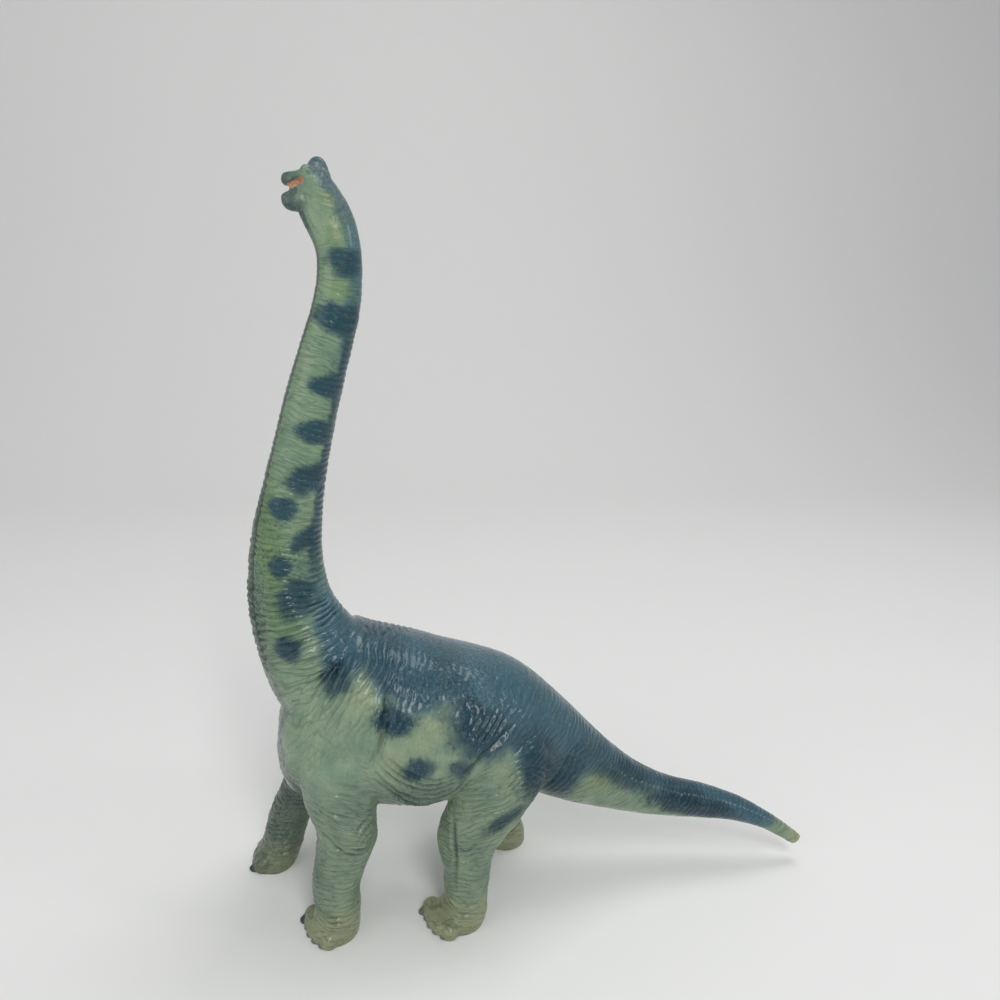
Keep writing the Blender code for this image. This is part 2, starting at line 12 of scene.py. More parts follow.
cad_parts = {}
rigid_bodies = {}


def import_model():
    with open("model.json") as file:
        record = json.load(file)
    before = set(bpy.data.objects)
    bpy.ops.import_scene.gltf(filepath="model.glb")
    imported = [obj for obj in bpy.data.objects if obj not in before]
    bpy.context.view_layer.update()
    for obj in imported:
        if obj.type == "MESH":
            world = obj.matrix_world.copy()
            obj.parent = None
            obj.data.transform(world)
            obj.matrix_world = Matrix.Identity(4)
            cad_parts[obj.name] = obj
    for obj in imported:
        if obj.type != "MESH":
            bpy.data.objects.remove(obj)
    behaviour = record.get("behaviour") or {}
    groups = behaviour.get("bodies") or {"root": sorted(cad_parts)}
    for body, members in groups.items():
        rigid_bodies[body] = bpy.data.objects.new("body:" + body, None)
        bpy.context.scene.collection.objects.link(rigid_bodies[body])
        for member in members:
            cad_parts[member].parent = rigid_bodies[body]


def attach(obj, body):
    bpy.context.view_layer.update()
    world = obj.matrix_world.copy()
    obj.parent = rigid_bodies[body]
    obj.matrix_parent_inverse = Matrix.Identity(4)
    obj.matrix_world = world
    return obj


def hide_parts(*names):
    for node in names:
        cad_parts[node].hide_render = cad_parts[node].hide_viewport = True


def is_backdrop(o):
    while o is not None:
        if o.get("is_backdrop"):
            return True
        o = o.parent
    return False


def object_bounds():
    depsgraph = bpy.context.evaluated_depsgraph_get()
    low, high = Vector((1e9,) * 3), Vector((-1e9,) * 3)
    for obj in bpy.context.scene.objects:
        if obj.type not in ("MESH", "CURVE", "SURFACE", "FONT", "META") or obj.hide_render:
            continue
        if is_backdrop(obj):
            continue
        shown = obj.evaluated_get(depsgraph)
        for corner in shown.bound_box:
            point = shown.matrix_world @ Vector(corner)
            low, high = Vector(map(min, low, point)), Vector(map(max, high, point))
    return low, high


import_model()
cad_low, cad_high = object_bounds()


# The sculpted animal
# The figure starts as one sculpture: trunk and tail, neck, head and four walking legs, melted together.
# Moulds are taken from it in nine parts, so every seam below is a cut through this one skin.

belly_height = 0.0525
trunk_length = 0.125
trunk_depth = 0.086
trunk_half_width = 0.040
tail_length = 0.140
tail_half_width = 0.028
tail_swing = 0.012
neck_rise = 0.180
neck_reach = 0.050
neck_half_width = 0.018
withers_height = belly_height + trunk_depth
skin_grain = 0.0005
skin_rounds = 32
ring_sides = 48
ball_rings = 16
rings_between = 4


def profile_stations(rows, start, size, half_width, swing=0.0):
    """Sections of a form that is even on both sides, each from its upper and its lower profile point."""
    stations = []
    first_x = rows[0][0]
    span = rows[-1][0] - first_x
    for upper_x, upper_z, lower_x, lower_z, width in rows:
        upper = Vector((start[0] + upper_x * size[0], 0, start[1] + upper_z * size[1]))
        lower = Vector((start[0] + lower_x * size[0], 0, start[1] + lower_z * size[1]))
        along = (upper_x - first_x) / span
        centre = (upper + lower) / 2
        centre.y = -swing * along * along
        stations.append((centre, (upper - lower) / 2, Vector((0, width * half_width, 0))))
    return stations


def curve_point(four, t):
    """A point on the smooth curve from the second to the third of four points."""
    before, start, end, after = four
    return 0.5 * (2 * start + (end - before) * t
                  + (2 * before - 5 * start + 4 * end - after) * t ** 2
                  + (3 * start - before - 3 * end + after) * t ** 3)


def between(stations, steps):
    """Fill in rings on a smooth curve through the stations."""
    filled = []
    last = len(stations) - 1
    for index in range(last):
        around = [stations[max(0, min(last, index + offset))] for offset in (-1, 0, 1, 2)]
        for step in range(steps):
            t = step / steps
            filled.append(tuple(curve_point([row[part] for row in around], t) for part in range(3)))
    filled.append(stations[last])
    return filled


def join(mesh, shape):
    """Add a finished shape to the others."""
    data = bpy.data.meshes.new("shape")
    shape.to_mesh(data)
    shape.free()
    mesh.from_mesh(data)
    bpy.data.meshes.remove(data)


def sweep(mesh, stations, sides=ring_sides):
    """Skin the sections with one closed tube."""
    tube = bmesh.new()
    rings = []
    for centre, depth, width in stations:
        ring = bmesh.ops.create_circle(tube, cap_ends=False, segments=sides, radius=1)["verts"]
        place = Matrix((depth, width, depth.cross(width))).transposed().to_4x4()
        place.translation = centre
        bmesh.ops.transform(tube, matrix=place, verts=ring)
        rings.append(list({edge for vert in ring for edge in vert.link_edges}))
    for ring, following in zip(rings, rings[1:]):
        bmesh.ops.bridge_loops(tube, edges=ring + following)
    bmesh.ops.holes_fill(tube, edges=rings[0] + rings[-1], sides=sides)
    join(mesh, tube)


def ball(mesh, centre, half_sizes):
    """Add an ellipsoid."""
    place = Matrix.Translation(centre) @ Matrix.Diagonal((*half_sizes, 1))
    shape = bmesh.new()
    bmesh.ops.create_uvsphere(shape, u_segments=ring_sides, v_segments=ball_rings, radius=1, matrix=place)
    join(mesh, shape)


# Trunk and tail: upper x and z, lower x and z, half width, as shares of the trunk's and the tail's sizes

trunk_shares = (
    (0.004, 0.459, 0.000, 0.320, 0.15),
    (0.016, 0.576, 0.016, 0.203, 0.35),
    (0.052, 0.692, 0.060, 0.110, 0.60),
    (0.140, 0.850, 0.148, 0.055, 0.80),
    (0.262, 1.040, 0.260, 0.035, 0.93),
    (0.352, 1.012, 0.370, 0.024, 0.99),
    (0.496, 0.955, 0.500, 0.004, 1.00),
    (0.624, 0.890, 0.620, 0.025, 0.96),
    (0.745, 0.842, 0.740, 0.050, 0.90),
    (0.860, 0.785, 0.850, 0.040, 0.81),
    (0.965, 0.688, 0.945, 0.004, 0.69),
)
tail_root_share = 0.62
tail_height = belly_height + tail_root_share * trunk_depth
tail_shares = (
    (0.107, 0.885, 0.021, 0.450, 0.79),
    (0.207, 0.747, 0.114, 0.398, 0.66),
    (0.307, 0.625, 0.229, 0.353, 0.55),
    (0.407, 0.528, 0.336, 0.314, 0.46),
    (0.521, 0.457, 0.479, 0.278, 0.39),
    (0.657, 0.410, 0.614, 0.258, 0.33),
    (0.793, 0.342, 0.735, 0.242, 0.27),
    (0.896, 0.266, 0.850, 0.198, 0.19),
    (0.968, 0.204, 0.928, 0.148, 0.15),
    (1.038, 0.134, 1.002, 0.088, 0.10),
)
tail_sections = profile_stations(tail_shares, (trunk_length, 0), (tail_length, tail_height),
                                 tail_half_width, swing=tail_swing)
trunk_sections = profile_stations(trunk_shares, (0, belly_height), (trunk_length, trunk_depth),
                                  trunk_half_width) + tail_sections

# Neck: back x and z, throat x and z, half width, as shares of its reach and rise above the withers

neck_shares = (
    (1.070, -0.103, 0.300, -0.269, 1.30),
    (0.830, -0.015, 0.040, -0.186, 1.30),
    (0.660, 0.040, -0.085, -0.103, 1.18),
    (0.530, 0.092, -0.170, -0.008, 1.03),
    (0.465, 0.147, -0.215, 0.081, 0.92),
    (0.434, 0.219, -0.200, 0.175, 0.84),
    (0.440, 0.297, -0.150, 0.275, 0.79),
    (0.470, 0.386, -0.060, 0.375, 0.72),
    (0.536, 0.497, 0.050, 0.492, 0.67),
    (0.616, 0.603, 0.160, 0.608, 0.61),
    (0.700, 0.703, 0.260, 0.697, 0.57),
    (0.760, 0.781, 0.360, 0.781, 0.52),
    (0.780, 0.853, 0.414, 0.853, 0.48),
    (0.770, 0.914, 0.410, 0.908, 0.46),
    (0.730, 0.969, 0.340, 0.953, 0.41),
    (0.660, 1.014, 0.285, 0.983, 0.31),
)
neck_sections = profile_stations(neck_shares, (0, withers_height), (neck_reach, neck_rise),
                                 neck_half_width)

# Head: shares of its length behind the snout and of its height above the chin

head_length = 0.024
head_height = 0.0205
head_half_width = 0.0066
head_start = (0.16 * neck_reach, withers_height + 0.9889 * neck_rise)
skull_shares = (
    (1.06, 0.17, 0.56, -0.27, 1.06),
    (0.875, 0.49, 0.48, -0.02, 1.00),
    (0.69, 0.71, 0.40, 0.20, 0.91),
    (0.51, 0.80, 0.33, 0.42, 0.82),
    (0.35, 0.75, 0.27, 0.54, 0.72),
    (0.20, 0.70, 0.17, 0.49, 0.62),
    (0.09, 0.68, 0.08, 0.42, 0.54),
    (0.03, 0.65, 0.03, 0.45, 0.42),
    (0.00, 0.57, 0.00, 0.51, 0.20),
)
jaw_shares = (
    (0.52, 0.22, 0.44, -0.12, 0.66),
    (0.35, 0.34, 0.29, -0.03, 0.72),
    (0.19, 0.355, 0.18, -0.02, 0.60),
    (0.07, 0.33, 0.08, 0.01, 0.48),
    (-0.01, 0.27, 0.01, 0.10, 0.28),
)
mouth_shares = (
    (0.37, 0.60, 0.33, 0.25, 0.60),
    (0.25, 0.56, 0.22, 0.30, 0.45),
    (0.13, 0.48, 0.13, 0.33, 0.36),
)
# The crest, its root, the cheeks and the corner behind the mouth: each one's place and half sizes
head_balls = (
    ((0.5725, 0, 0.712), (0.175, 0.62, 0.280)),
    ((0.645, 0, 0.600), (0.145, 0.84, 0.220)),
    ((0.64, 0, 0.06), (0.25, 1.05, 0.40)),
    ((0.37, 0, 0.345), (0.13, 0.72, 0.12)),
)
brow_place_shares = (0.395, 0.42, 0.725)
brow_half_share = 0.105


def head_point(along, across, high):
    return Vector((head_start[0] + along * head_length, across * head_half_width,
                   head_start[1] + high * head_height))


def head_form(mesh):
    for rows in (skull_shares, jaw_shares, mouth_shares):
        sections = profile_stations(rows, head_start, (head_length, head_height), head_half_width)
        sweep(mesh, between(sections, rings_between))
    sizes = (head_length, head_half_width, head_height)
    for places, halves in head_balls:
        ball(mesh, head_point(*places), [share * size for share, size in zip(halves, sizes)])
    for side in (-1, 1):
        along, across, high = brow_place_shares
        ball(mesh, head_point(along, side * across, high), [brow_half_share * head_height] * 3)


# Legs: level, front, back, half width, spread from the spine, as shares of the leg's own sizes

leg_height = 0.100
leg_half_width = 0.013
leg_spread = 0.0275
front_stride = 0.031
hind_stride = 0.0318
front_leg_shares = (
    (1.04, -0.95, 0.65, 0.85, 0.66),
    (0.98, -1.35, 1.00, 1.08, 0.72),
    (0.90, -1.54, 1.13, 1.20, 0.80),
    (0.80, -1.50, 1.15, 1.18, 0.88),
    (0.70, -1.38, 1.12, 1.13, 0.95),
    (0.63, -1.19, 1.05, 1.08, 0.98),
    (0.56, -1.00, 1.06, 1.03, 1.00),
    (0.50, -0.98, 1.08, 1.00, 1.00),
    (0.40, -1.06, 0.84, 0.95, 1.00),
    (0.30, -1.15, 0.58, 0.89, 1.00),
    (0.20, -1.14, 0.50, 0.85, 1.00),
    (0.12, -1.08, 0.53, 0.90, 0.97),
    (0.06, -1.17, 0.52, 0.99, 0.94),
    (0.00, -1.20, 0.48, 0.98, 0.92),
    (-0.04, -1.16, 0.42, 0.94, 0.92),
)
hind_leg_shares = (
    (1.04, -0.60, 0.60, 0.75, 0.50),
    (0.98, -0.85, 1.05, 1.00, 0.58),
    (0.90, -1.15, 1.38, 1.16, 0.70),
    (0.80, -1.45, 1.52, 1.22, 0.80),
    (0.70, -1.80, 1.22, 1.22, 0.90),
    (0.62, -2.10, 0.82, 1.17, 0.96),
    (0.55, -2.37, 0.46, 1.10, 1.00),
    (0.48, -2.50, 0.08, 1.00, 1.00),
    (0.40, -2.46, -0.36, 0.92, 1.00),
    (0.30, -2.26, -0.50, 0.86, 1.00),
    (0.20, -2.22, -0.56, 0.83, 1.00),
    (0.11, -2.20, -0.60, 0.90, 0.99),
    (0.06, -2.36, -0.58, 1.00, 0.98),
    (0.00, -2.56, -0.68, 1.00, 0.98),
    (-0.04, -2.54, -0.76, 0.96, 0.98),
)
shoulder_share = 0.244
hip_share = 0.836
toe_count = 5
toe_step_share = 0.35
toe_radius_share = 0.34
nail_half_shares = (0.11, 0.11, 0.11)
claw_half_shares = (0.25, 0.16, 0.18)
nail_reach_share = 0.86
nail_drop_share = 0.12
toe_level_share = 0.21
toe_curve_share = 0.045

# Each leg: its sections, its place along the trunk, stride, side, how far its toes reach and turn out
legs = {
    "front_left_leg": (front_leg_shares, shoulder_share, 0, -1, 0.72, 22),
    "front_right_leg": (front_leg_shares, shoulder_share, -front_stride, 1, 0.50, 8),
    "hind_left_leg": (hind_leg_shares, hip_share, 0, -1, 0.94, 22),
    "hind_right_leg": (hind_leg_shares, hip_share, hind_stride, 1, 0.94, 8),
}


def leg_sections(name):
    rows, place_share, stride, side = legs[name][:4]
    sections = []
    for level, front, back, width, spread in rows:
        middle = place_share * trunk_length + stride * (1 - level) + (front + back) / 2 * leg_half_width
        centre = Vector((middle, side * spread * leg_spread, level * leg_height))
        depth = Vector(((back - front) / 2 * leg_half_width, 0, 0))
        sections.append((centre, depth, Vector((0, width * leg_half_width, 0))))
    return sections


def toe_places(name):
    """Each toe's centre, its nail's middle and the nail's half sizes; the inner toe has a big claw."""
    side, ahead_share, turn_out = legs[name][3:]
    foot = leg_sections(name)[-2][0]
    turn = math.radians(turn_out)
    ahead = Vector((-math.cos(turn), side * math.sin(turn), 0))
    across = Vector((-ahead.y, ahead.x, 0))
    places = []
    for number in range(toe_count):
        step = number - (toe_count - 1) / 2
        reach = (ahead_share - toe_curve_share * step * step) * leg_half_width
        centre = foot + ahead * reach + across * step * toe_step_share * leg_half_width
        centre.z = toe_level_share * leg_half_width
        nail = centre + ahead * nail_reach_share * toe_radius_share * leg_half_width
        inner = number == (0 if side < 0 else toe_count - 1)
        halves = [share * leg_half_width for share in (claw_half_shares if inner else nail_half_shares)]
        places.append((centre, nail - Vector((0, 0, nail_drop_share * leg_half_width)), halves))
    return places


def body_form(mesh):
    sweep(mesh, between(trunk_sections, rings_between))
    sweep(mesh, between(neck_sections, rings_between))
    head_form(mesh)
    for name in legs:
        sweep(mesh, between(leg_sections(name), rings_between))
        for centre, nail, halves in toe_places(name):
            ball(mesh, centre, [toe_radius_share * leg_half_width] * 3)
            ball(mesh, nail, halves)


def placed(name, data):
    """Put data into the scene as an object."""
    made = bpy.data.objects.new(name, data)
    bpy.context.scene.collection.objects.link(made)
    return made


def as_object(mesh, name):
    """Turn a finished mesh into an object with its faces outwards."""
    bmesh.ops.recalc_face_normals(mesh, faces=mesh.faces)
    data = bpy.data.meshes.new(name)
    mesh.to_mesh(data)
    mesh.free()
    return placed(name, data)


def settled(piece):
    """Replace an object's mesh by what its modifiers make of it."""
    view = bpy.context.evaluated_depsgraph_get()
    data = bpy.data.meshes.new_from_object(piece.evaluated_get(view), depsgraph=view)
    piece.modifiers.clear()
    piece.data = data
    return piece


def melted(name, fill, grain, rounds):
    """Melt overlapping shapes into one soft skin."""
    mesh = bmesh.new()
    fill(mesh)
    skin = as_object(mesh, name)
    blend = skin.modifiers.new("blend", "REMESH")
    blend.mode = "VOXEL"
    blend.voxel_size = grain
    soften = skin.modifiers.new("soften", "SMOOTH")
    soften.factor = 0.5
    soften.iterations = rounds
    return settled(skin)


skin = melted("skin", body_form, skin_grain, skin_rounds)
low, high = [[pick(corner[axis] for corner in skin.bound_box) for axis in (0, 1)] for pick in (min, max)]
middle = Vector((-(low[0] + high[0]) / 2, -(low[1] + high[1]) / 2, 0))
skin.data.transform(Matrix.Translation(middle))

head_grain = 0.00025
head_rounds = 90
head_neck_rings = 5


def head_and_throat(mesh):
    sweep(mesh, between(neck_sections[-head_neck_rings:], rings_between))
    head_form(mesh)


head_skin = melted("head_skin", head_and_throat, head_grain, head_rounds)
head_skin.data.transform(Matrix.Translation(middle))


# Folds of the skin
# The sculptor pressed rings round the neck, fans at its base, creases at every limb and level wrinkles
# down the legs. They are real relief, pressed along the skin's own direction, before the moulds are taken.
# All lengths in this section are millimetres.

metre = 1000.0
chance = np.random.default_rng(7)
order = chance.permutation(256)
slopes = chance.normal(size=(256, 3))
slopes = (slopes / np.linalg.norm(slopes, axis=1)[:, None]).astype(np.float32)


def noise(places, cells, seed):
    """Smooth lumps between about -1 and 1; cells are their sizes along the three axes."""
    scaled = places / np.array(cells) + seed * 7.31
    base = np.floor(scaled)
    part = (scaled - base).astype(np.float32)
    base = base.astype(np.int32)
    blend = part * part * part * (part * (part * 6 - 15) + 10)
    total = np.zeros(len(places), np.float32)
    for corner in range(8):
        step = np.array([corner & 1, corner >> 1 & 1, corner >> 2 & 1])
        cell = base + step
        code = order[(order[(order[cell[:, 0] & 255] + cell[:, 1]) & 255] + cell[:, 2]) & 255]
        share = np.where(step, blend, 1 - blend).prod(1)
        total += share * (slopes[code] * (part - step.astype(np.float32))).sum(1)
    return total * 1.6


def ramp(values, start, end):
    """0 before start, 1 past end, and smooth between them."""
    t = np.clip((values - start) / (end - start), 0, 1)
    return t * t * (3 - 2 * t)


def near(apart, width):
    """1 where something is, and 0 away from it."""
    return np.exp(-(apart / width) ** 2)


def wave(count):
    """1 at each whole number, and 0 halfway between two."""
    return 0.5 + 0.5 * np.cos(2 * np.pi * count)


def pleats(count, places, seed):
    """Close wavering folds, 1 at the bottom of each; count goes up by one from fold to fold."""
    first = count + 0.75 * noise(places, (15, 15, 15), seed) + 0.14 * noise(places, (5, 5, 5), seed + 1)
    second = 0.72 * count + 0.9 * noise(places, (14, 14, 14), seed + 2)
    deep = wave(first) ** 2 * ramp(noise(places, (10, 10, 7), seed + 3), -0.8, 0.1)
    cross = wave(second) ** 4 * ramp(noise(places, (10, 10, 9), seed + 4), -0.3, 0.4)
    return np.maximum(deep, 0.9 * cross)


def spine_frame(places):
    """Distance along the spine from the head, across it to the side, and above it."""
    middles = [row[0] for row in neck_sections[:0:-1]]
    trunk_stops = [Vector((0.62 * trunk_length, 0, belly_height + 0.46 * trunk_depth)),
                   Vector((0.82 * trunk_length, 0, belly_height + 0.44 * trunk_depth))]
    middles += trunk_stops + [row[0] for row in tail_sections]
    line = [point for point, *rest in between([(point, point, point) for point in middles], 3)]
    line = (np.array(line) + np.array(middle)) * metre
    steps = np.diff(line, axis=0)
    gone = np.concatenate([[0], np.cumsum(np.linalg.norm(steps, axis=1))])
    along = np.gradient(line, axis=0)
    along[:, 1] = 0
    along /= np.linalg.norm(along, axis=1)[:, None]
    above = np.stack([-along[:, 2], along[:, 1], along[:, 0]], 1)
    found = np.zeros(len(places), int)
    for start in range(0, len(places), 20000):
        part = places[start:start + 20000]
        apart = (part[:, None, 0] - line[None, :, 0]) ** 2 + (part[:, None, 2] - line[None, :, 2]) ** 2
        found[start:start + 20000] = apart.argmin(1)
    past = ((places - line[found]) * along[found]).sum(1)
    first = np.clip(np.where(past < 0, found - 1, found), 0, len(line) - 2)
    before = ((places - line[first]) * along[first]).sum(1)
    after = ((line[first + 1] - places) * along[first + 1]).sum(1)
    share = np.clip(before / (before + after), 0, 1)
    centre = line[first] + (line[first + 1] - line[first]) * share[:, None]
    upward = above[first] * (1 - share[:, None]) + above[first + 1] * share[:, None]
    reach = places - centre
    return np.stack([gone[first] + share * (gone[first + 1] - gone[first]), reach[:, 1],
                     (reach * upward).sum(1)], 1)


def leg_frame(places, name):
    """How surely a place is on a leg, where on the standing left leg it would be, and where across it."""
    stride, side = legs[name][2:4]
    rows = sorted(leg_sections(name), key=lambda row: row[0].z)
    levels = [row[0].z * metre for row in rows]
    sizes = [(row[0].x + middle.x, row[0].y + middle.y, row[1].length, row[2].length) for row in rows]
    sizes = np.array(sizes).T * metre
    x, y, high = places.T
    mid_x, mid_y, half_x, half_y = [np.interp(high, levels, size) for size in sizes]
    local = np.stack([x - mid_x, y - mid_y, high], 1)
    away = np.hypot(local[:, 0] / half_x, local[:, 1] / half_y)
    foot_room = 1 + ramp(high, 14, 6)
    sure = ramp(away / foot_room, 1.55, 1.2) * ramp(high, 98, 68)
    stood = np.stack([x - stride * metre * (1 - high / (leg_height * metre)), -side * y, high], 1)
    return sure, stood, local


def wrinkle_level(local, name):
    """The height that a leg's wrinkles follow: level low down, and leaning at the thigh and upper arm."""
    upward = 0.42 if name.startswith("front") else -0.45
    tilt = upward * ramp(local[:, 2], 42, 60)
    return local[:, 2] + tilt * local[:, 0] + 1.6 * noise(local, (10, 10, 9), 11)


lip_share = 0.35
side_share = 0.22


def crease(places, points, width, depth):
    """Height of one line, drawn from the side and pressed in with low lips, fading out at its ends."""
    from_side = np.array((1, side_share, 1))
    places = places * from_side
    points = np.array(points, float) * from_side
    close = ((places > points.min(0) - 4 * width) & (places < points.max(0) + 4 * width)).all(1)
    height = np.zeros(len(places))
    chosen = places[close]
    if not len(chosen):
        return height
    apart = np.full(len(chosen), 1e9)
    run = np.zeros(len(chosen))
    last = len(points) - 1
    for index in range(last):
        start, end = points[index], points[index + 1]
        step = end - start
        t = np.clip((chosen - start) @ step / (step @ step), 0, 1)
        away = np.linalg.norm(chosen - start - t[:, None] * step, axis=1)
        run = np.where(away < apart, (index + t) / last, run)
        apart = np.minimum(apart, away)
    apart = apart + 0.35 * width * noise(chosen, (6, 6, 6), 41)
    fade = np.sin(np.pi * np.clip(run * 0.92 + 0.04, 0, 1)) ** 0.8
    height[close] = depth * fade * (lip_share * near(apart - 2 * width, width) - near(apart, width))
    return height


def smooth_line(points, steps=5):
    """The same line with points on a curve between those given."""
    rows = [(Vector(point),) * 3 for point in points]
    return [tuple(row[0]) for row in between(rows, steps)]


# Creases of the left side, mirrored onto the right: points, width, depth and how much darker the paint
# is in them, and then how many copies there are and the step between them, where there is more than one
trunk_creases = (
    (((-76.1, -26.1, 126.7), (-78.6, -33.8, 116.9), (-80.6, -37.9, 105.2), (-82.5, -38.1, 93.8)),
      1.9, 2, 0.5),
    (((-46, -33, 78), (-41.2, -35.6, 86.9), (-34.7, -35.9, 93.8), (-26.4, -33.9, 100.2),
      (-19.4, -28.8, 104.8)), 1.5, 1.5, 0.9),
    (((-37, -35.5, 94.5), (-30.5, -33.5, 101), (-24, -30.5, 109)), 0.8, 0.9, 0.5, 5, (-2, 0, 1.7)),
    (((-83.2, -36.5, 85.1), (-72.1, -32.5, 72.8), (-60.2, -25.5, 63.4), (-49.2, -28, 67.4),
      (-40.5, -34.1, 79.7)), 1.1, 2.1, 1),
    (((-83.5, -37.6, 90), (-74.5, -35.5, 78.5), (-60, -31, 69.5), (-48.5, -32.5, 72.5), (-42.5, -36, 82)),
      0.9, 1.6, 0.9),
    (((-82.1, -38.2, 93.5), (-72.6, -37.4, 83.8), (-59.3, -35.4, 77.2), (-48.2, -35.1, 79.5)),
      0.9, 1.4, 0.7, 3, (1, 0, 2.9)),
    (((-5.6, -19, 59.5), (0.2, -21, 67.5), (4.6, -21.5, 73.5), (8, -21, 80.5)),
      0.9, 1.4, 0.7, 4, (3.3, 0, -1.2)),
    (((-91.5, -37.5, 100), (-88, -38.5, 101.5), (-84.2, -38.5, 98), (-85, -38, 92), (-89.5, -37.5, 92),
      (-91.5, -37.5, 97)), 0.8, 0.5, 0.25),
    (((-112.5, -30, 100.5), (-107, -34.5, 97.5), (-101, -37, 94.5)), 0.8, 0.5, 0.4, 2, (4, 0, 5)),
    (((-100, -38, 86), (-92, -39, 83), (-85, -38, 77)), 0.9, 0.7, 0.5, 4, (-1.5, 0, -4.4)),
)
leg_creases = (
    (((-48.8, -35, 66), (-48, -36.2, 55.3), (-46.8, -36.9, 40.4), (-46.9, -34.6, 23.9)), 0.9, 1, 0.7),
    (((-46.5, -38.5, 50.5), (-43.5, -39.5, 46.5), (-40.5, -40, 48), (-38, -40, 51.5)),
      0.9, 0.7, 0.5, 3, (0.8, 0, -3.2)),
    (((-81, -30.5, 65.5), (-84, -35.5, 66.5), (-89.5, -38.8, 63.5), (-93, -39, 57.5)),
      0.9, 0.7, 0.4, 3, (1, 0, -3.4)),
    (((-82, -34.5, 51.5), (-86.5, -37.5, 48.8), (-91.5, -38.6, 49.5), (-95, -38.8, 52.5)),
      1, 0.9, 0.6, 2, (0.5, 0, 2.6)),
    (((-91, -38.5, 49.5), (-96, -38.8, 51.5), (-101.5, -38.2, 56.5), (-108, -34.5, 63.5)), 1, 0.8, 0.6),
    (((-108.5, -31, 15.5), (-103, -36.5, 13), (-96, -37, 13.5)), 0.9, 0.6, 0.5, 2, (0, 0, 3)),
    (((-50, -34, 15), (-45, -39, 11.5), (-38, -40.5, 11.5), (-30, -38.5, 14)),
      0.9, 0.6, 0.5, 2, (0, 0, 3.4)),
)
# Arcs of folds over a point of the thigh: centre, least and greatest radius, spacing, depth
trunk_arcs = (((-15.5, -37, 70), 5, 17, 2.4, 0.50),)
# Bulges of the elbow, the knee, the shin's ridge and the heel: centre, radius, height
leg_bulges = (((-86.5, -38, 60), 8, 1.3), ((-44.5, -38.5, 50.5), 7.5, 1.1),
              ((-50, -32, 36), 6.5, 0.7), ((-40, -40, 38), 8, 0.5), ((-100, -38, 28), 9, -0.6))


def mirrored(places):
    """The same places with the right side laid over the left one."""
    own = places.copy()
    own[:, 1] = -np.abs(own[:, 1])
    return own


def pressed_in(places, rows):
    """Height of a set of creases, and how much darker the paint is in them."""
    height = np.zeros(len(places))
    darkening = np.zeros(len(places))
    for points, width, deep, darkness, *again in rows:
        copies, step = again or (1, (0, 0, 0))
        line = np.array(smooth_line(points))
        for number in range(copies):
            pressed = crease(places, line + number * np.array(step), width, deep * (1 - 0.15 * number))
            height += pressed
            darkening += np.clip(-pressed / deep, 0, 1) * darkness
    return height, darkening


neck_end = 176
tail_start = neck_end + 104
nape_place = (-93, 142)
throat_turns = ((0, 40, 120, 175, 260), (161, 158, 153, 147, 144))
throat_depth = 0.8
# How many folds lie between the head and a place along the neck, and how deep they are
fold_counts = ((0, 100, 176, 250), (0, 38, 64, 86))
fold_depths = ((14, 30, 90, 140, 178, 205, 240, 262), (0.0, 0.18, 0.32, 0.55, 1.15, 1.15, 0.55, 0.1))
neck_swell = 0.14
tail_fold_step = 2.7
tail_fold_depth = 0.26
tail_swell = 0.10
top_pebble = 0.03
flank_pebble = 0.29
flank_line_depth = 0.14
leg_fold_step = 2.6
leg_fold_depth = 0.62
leg_swell = 0.36
knot_height = 0.45


class Skin:
    """Places on the skin, with where each lies along the spine, round it and on the legs."""

    def __init__(self, data):
        self.places = corners_of(data) * metre
        self.x, self.y, self.z = self.places.T
        self.own = mirrored(self.places)
        self.spine = spine_frame(self.places)
        self.along, self.side, self.above = self.spine.T
        self.turn = np.degrees(np.arctan2(np.abs(self.side), self.above))
        self.legs = {name: leg_frame(self.places, name) for name in legs}
        self.on_leg = np.max([weight for weight, stood, local in self.legs.values()], 0)


def sway(spine):
    """How far the rings waver along the spine."""
    return 1.3 * noise(spine, (9, 9, 9), 1)


def neck_rings(at, share):
    """Height of the neck's rings, which drop a little towards the throat, and the darker paint in them."""
    height, depth = np.zeros((2, len(share)))
    here = share > 0
    along = at.along[here]
    run = along + sway(at.spine[here]) + 2 * ramp(at.turn[here], 20, 150)
    folds = pleats(np.interp(run, *fold_counts), at.places[here], 2)
    swell = neck_swell * noise(at.spine[here], (5, 22, 22), 5)
    height[here] = share[here] * (swell - np.interp(along, *fold_depths) * folds)
    depth[here] = share[here] * folds * np.interp(along, (20, 150, 200), (0.30, 0.50, 0.45))
    return height, depth


def tail_rings(at, share):
    """Height of the finer rings round the tail, and the darker paint in them."""
    height, depth = np.zeros((2, len(share)))
    here = share > 0
    run = (at.along - 0.5 * at.above)[here] + sway(at.spine[here])
    folds = pleats(run / tail_fold_step, at.places[here], 12)
    swell = tail_swell * noise(at.places[here], (5, 12, 12), 7)
    height[here] = share[here] * (swell - tail_fold_depth * folds)
    depth[here] = share[here] * 0.35 * folds
    return height, depth


def trunk_pebbles(at, share):
    """Height of the trunk's pebbles and fine cracks, and the darker paint in the cracks."""
    height, depth = np.zeros((2, len(share)))
    here = share > 0
    places = at.places[here]
    flank = ramp(np.abs(at.side), 8, 22)[here]
    pebbles = noise(places, (2.1, 2.1, 4.6), 8) + 0.5 * noise(places, (5, 5, 9), 14)
    cracks = flank * near(noise(places, (5, 5, 7), 9), 0.08)
    pebbles *= top_pebble + flank_pebble * flank
    height[here] = share[here] * (pebbles - flank_line_depth * cracks)
    depth[here] = share[here] * 0.22 * cracks
    return height, depth


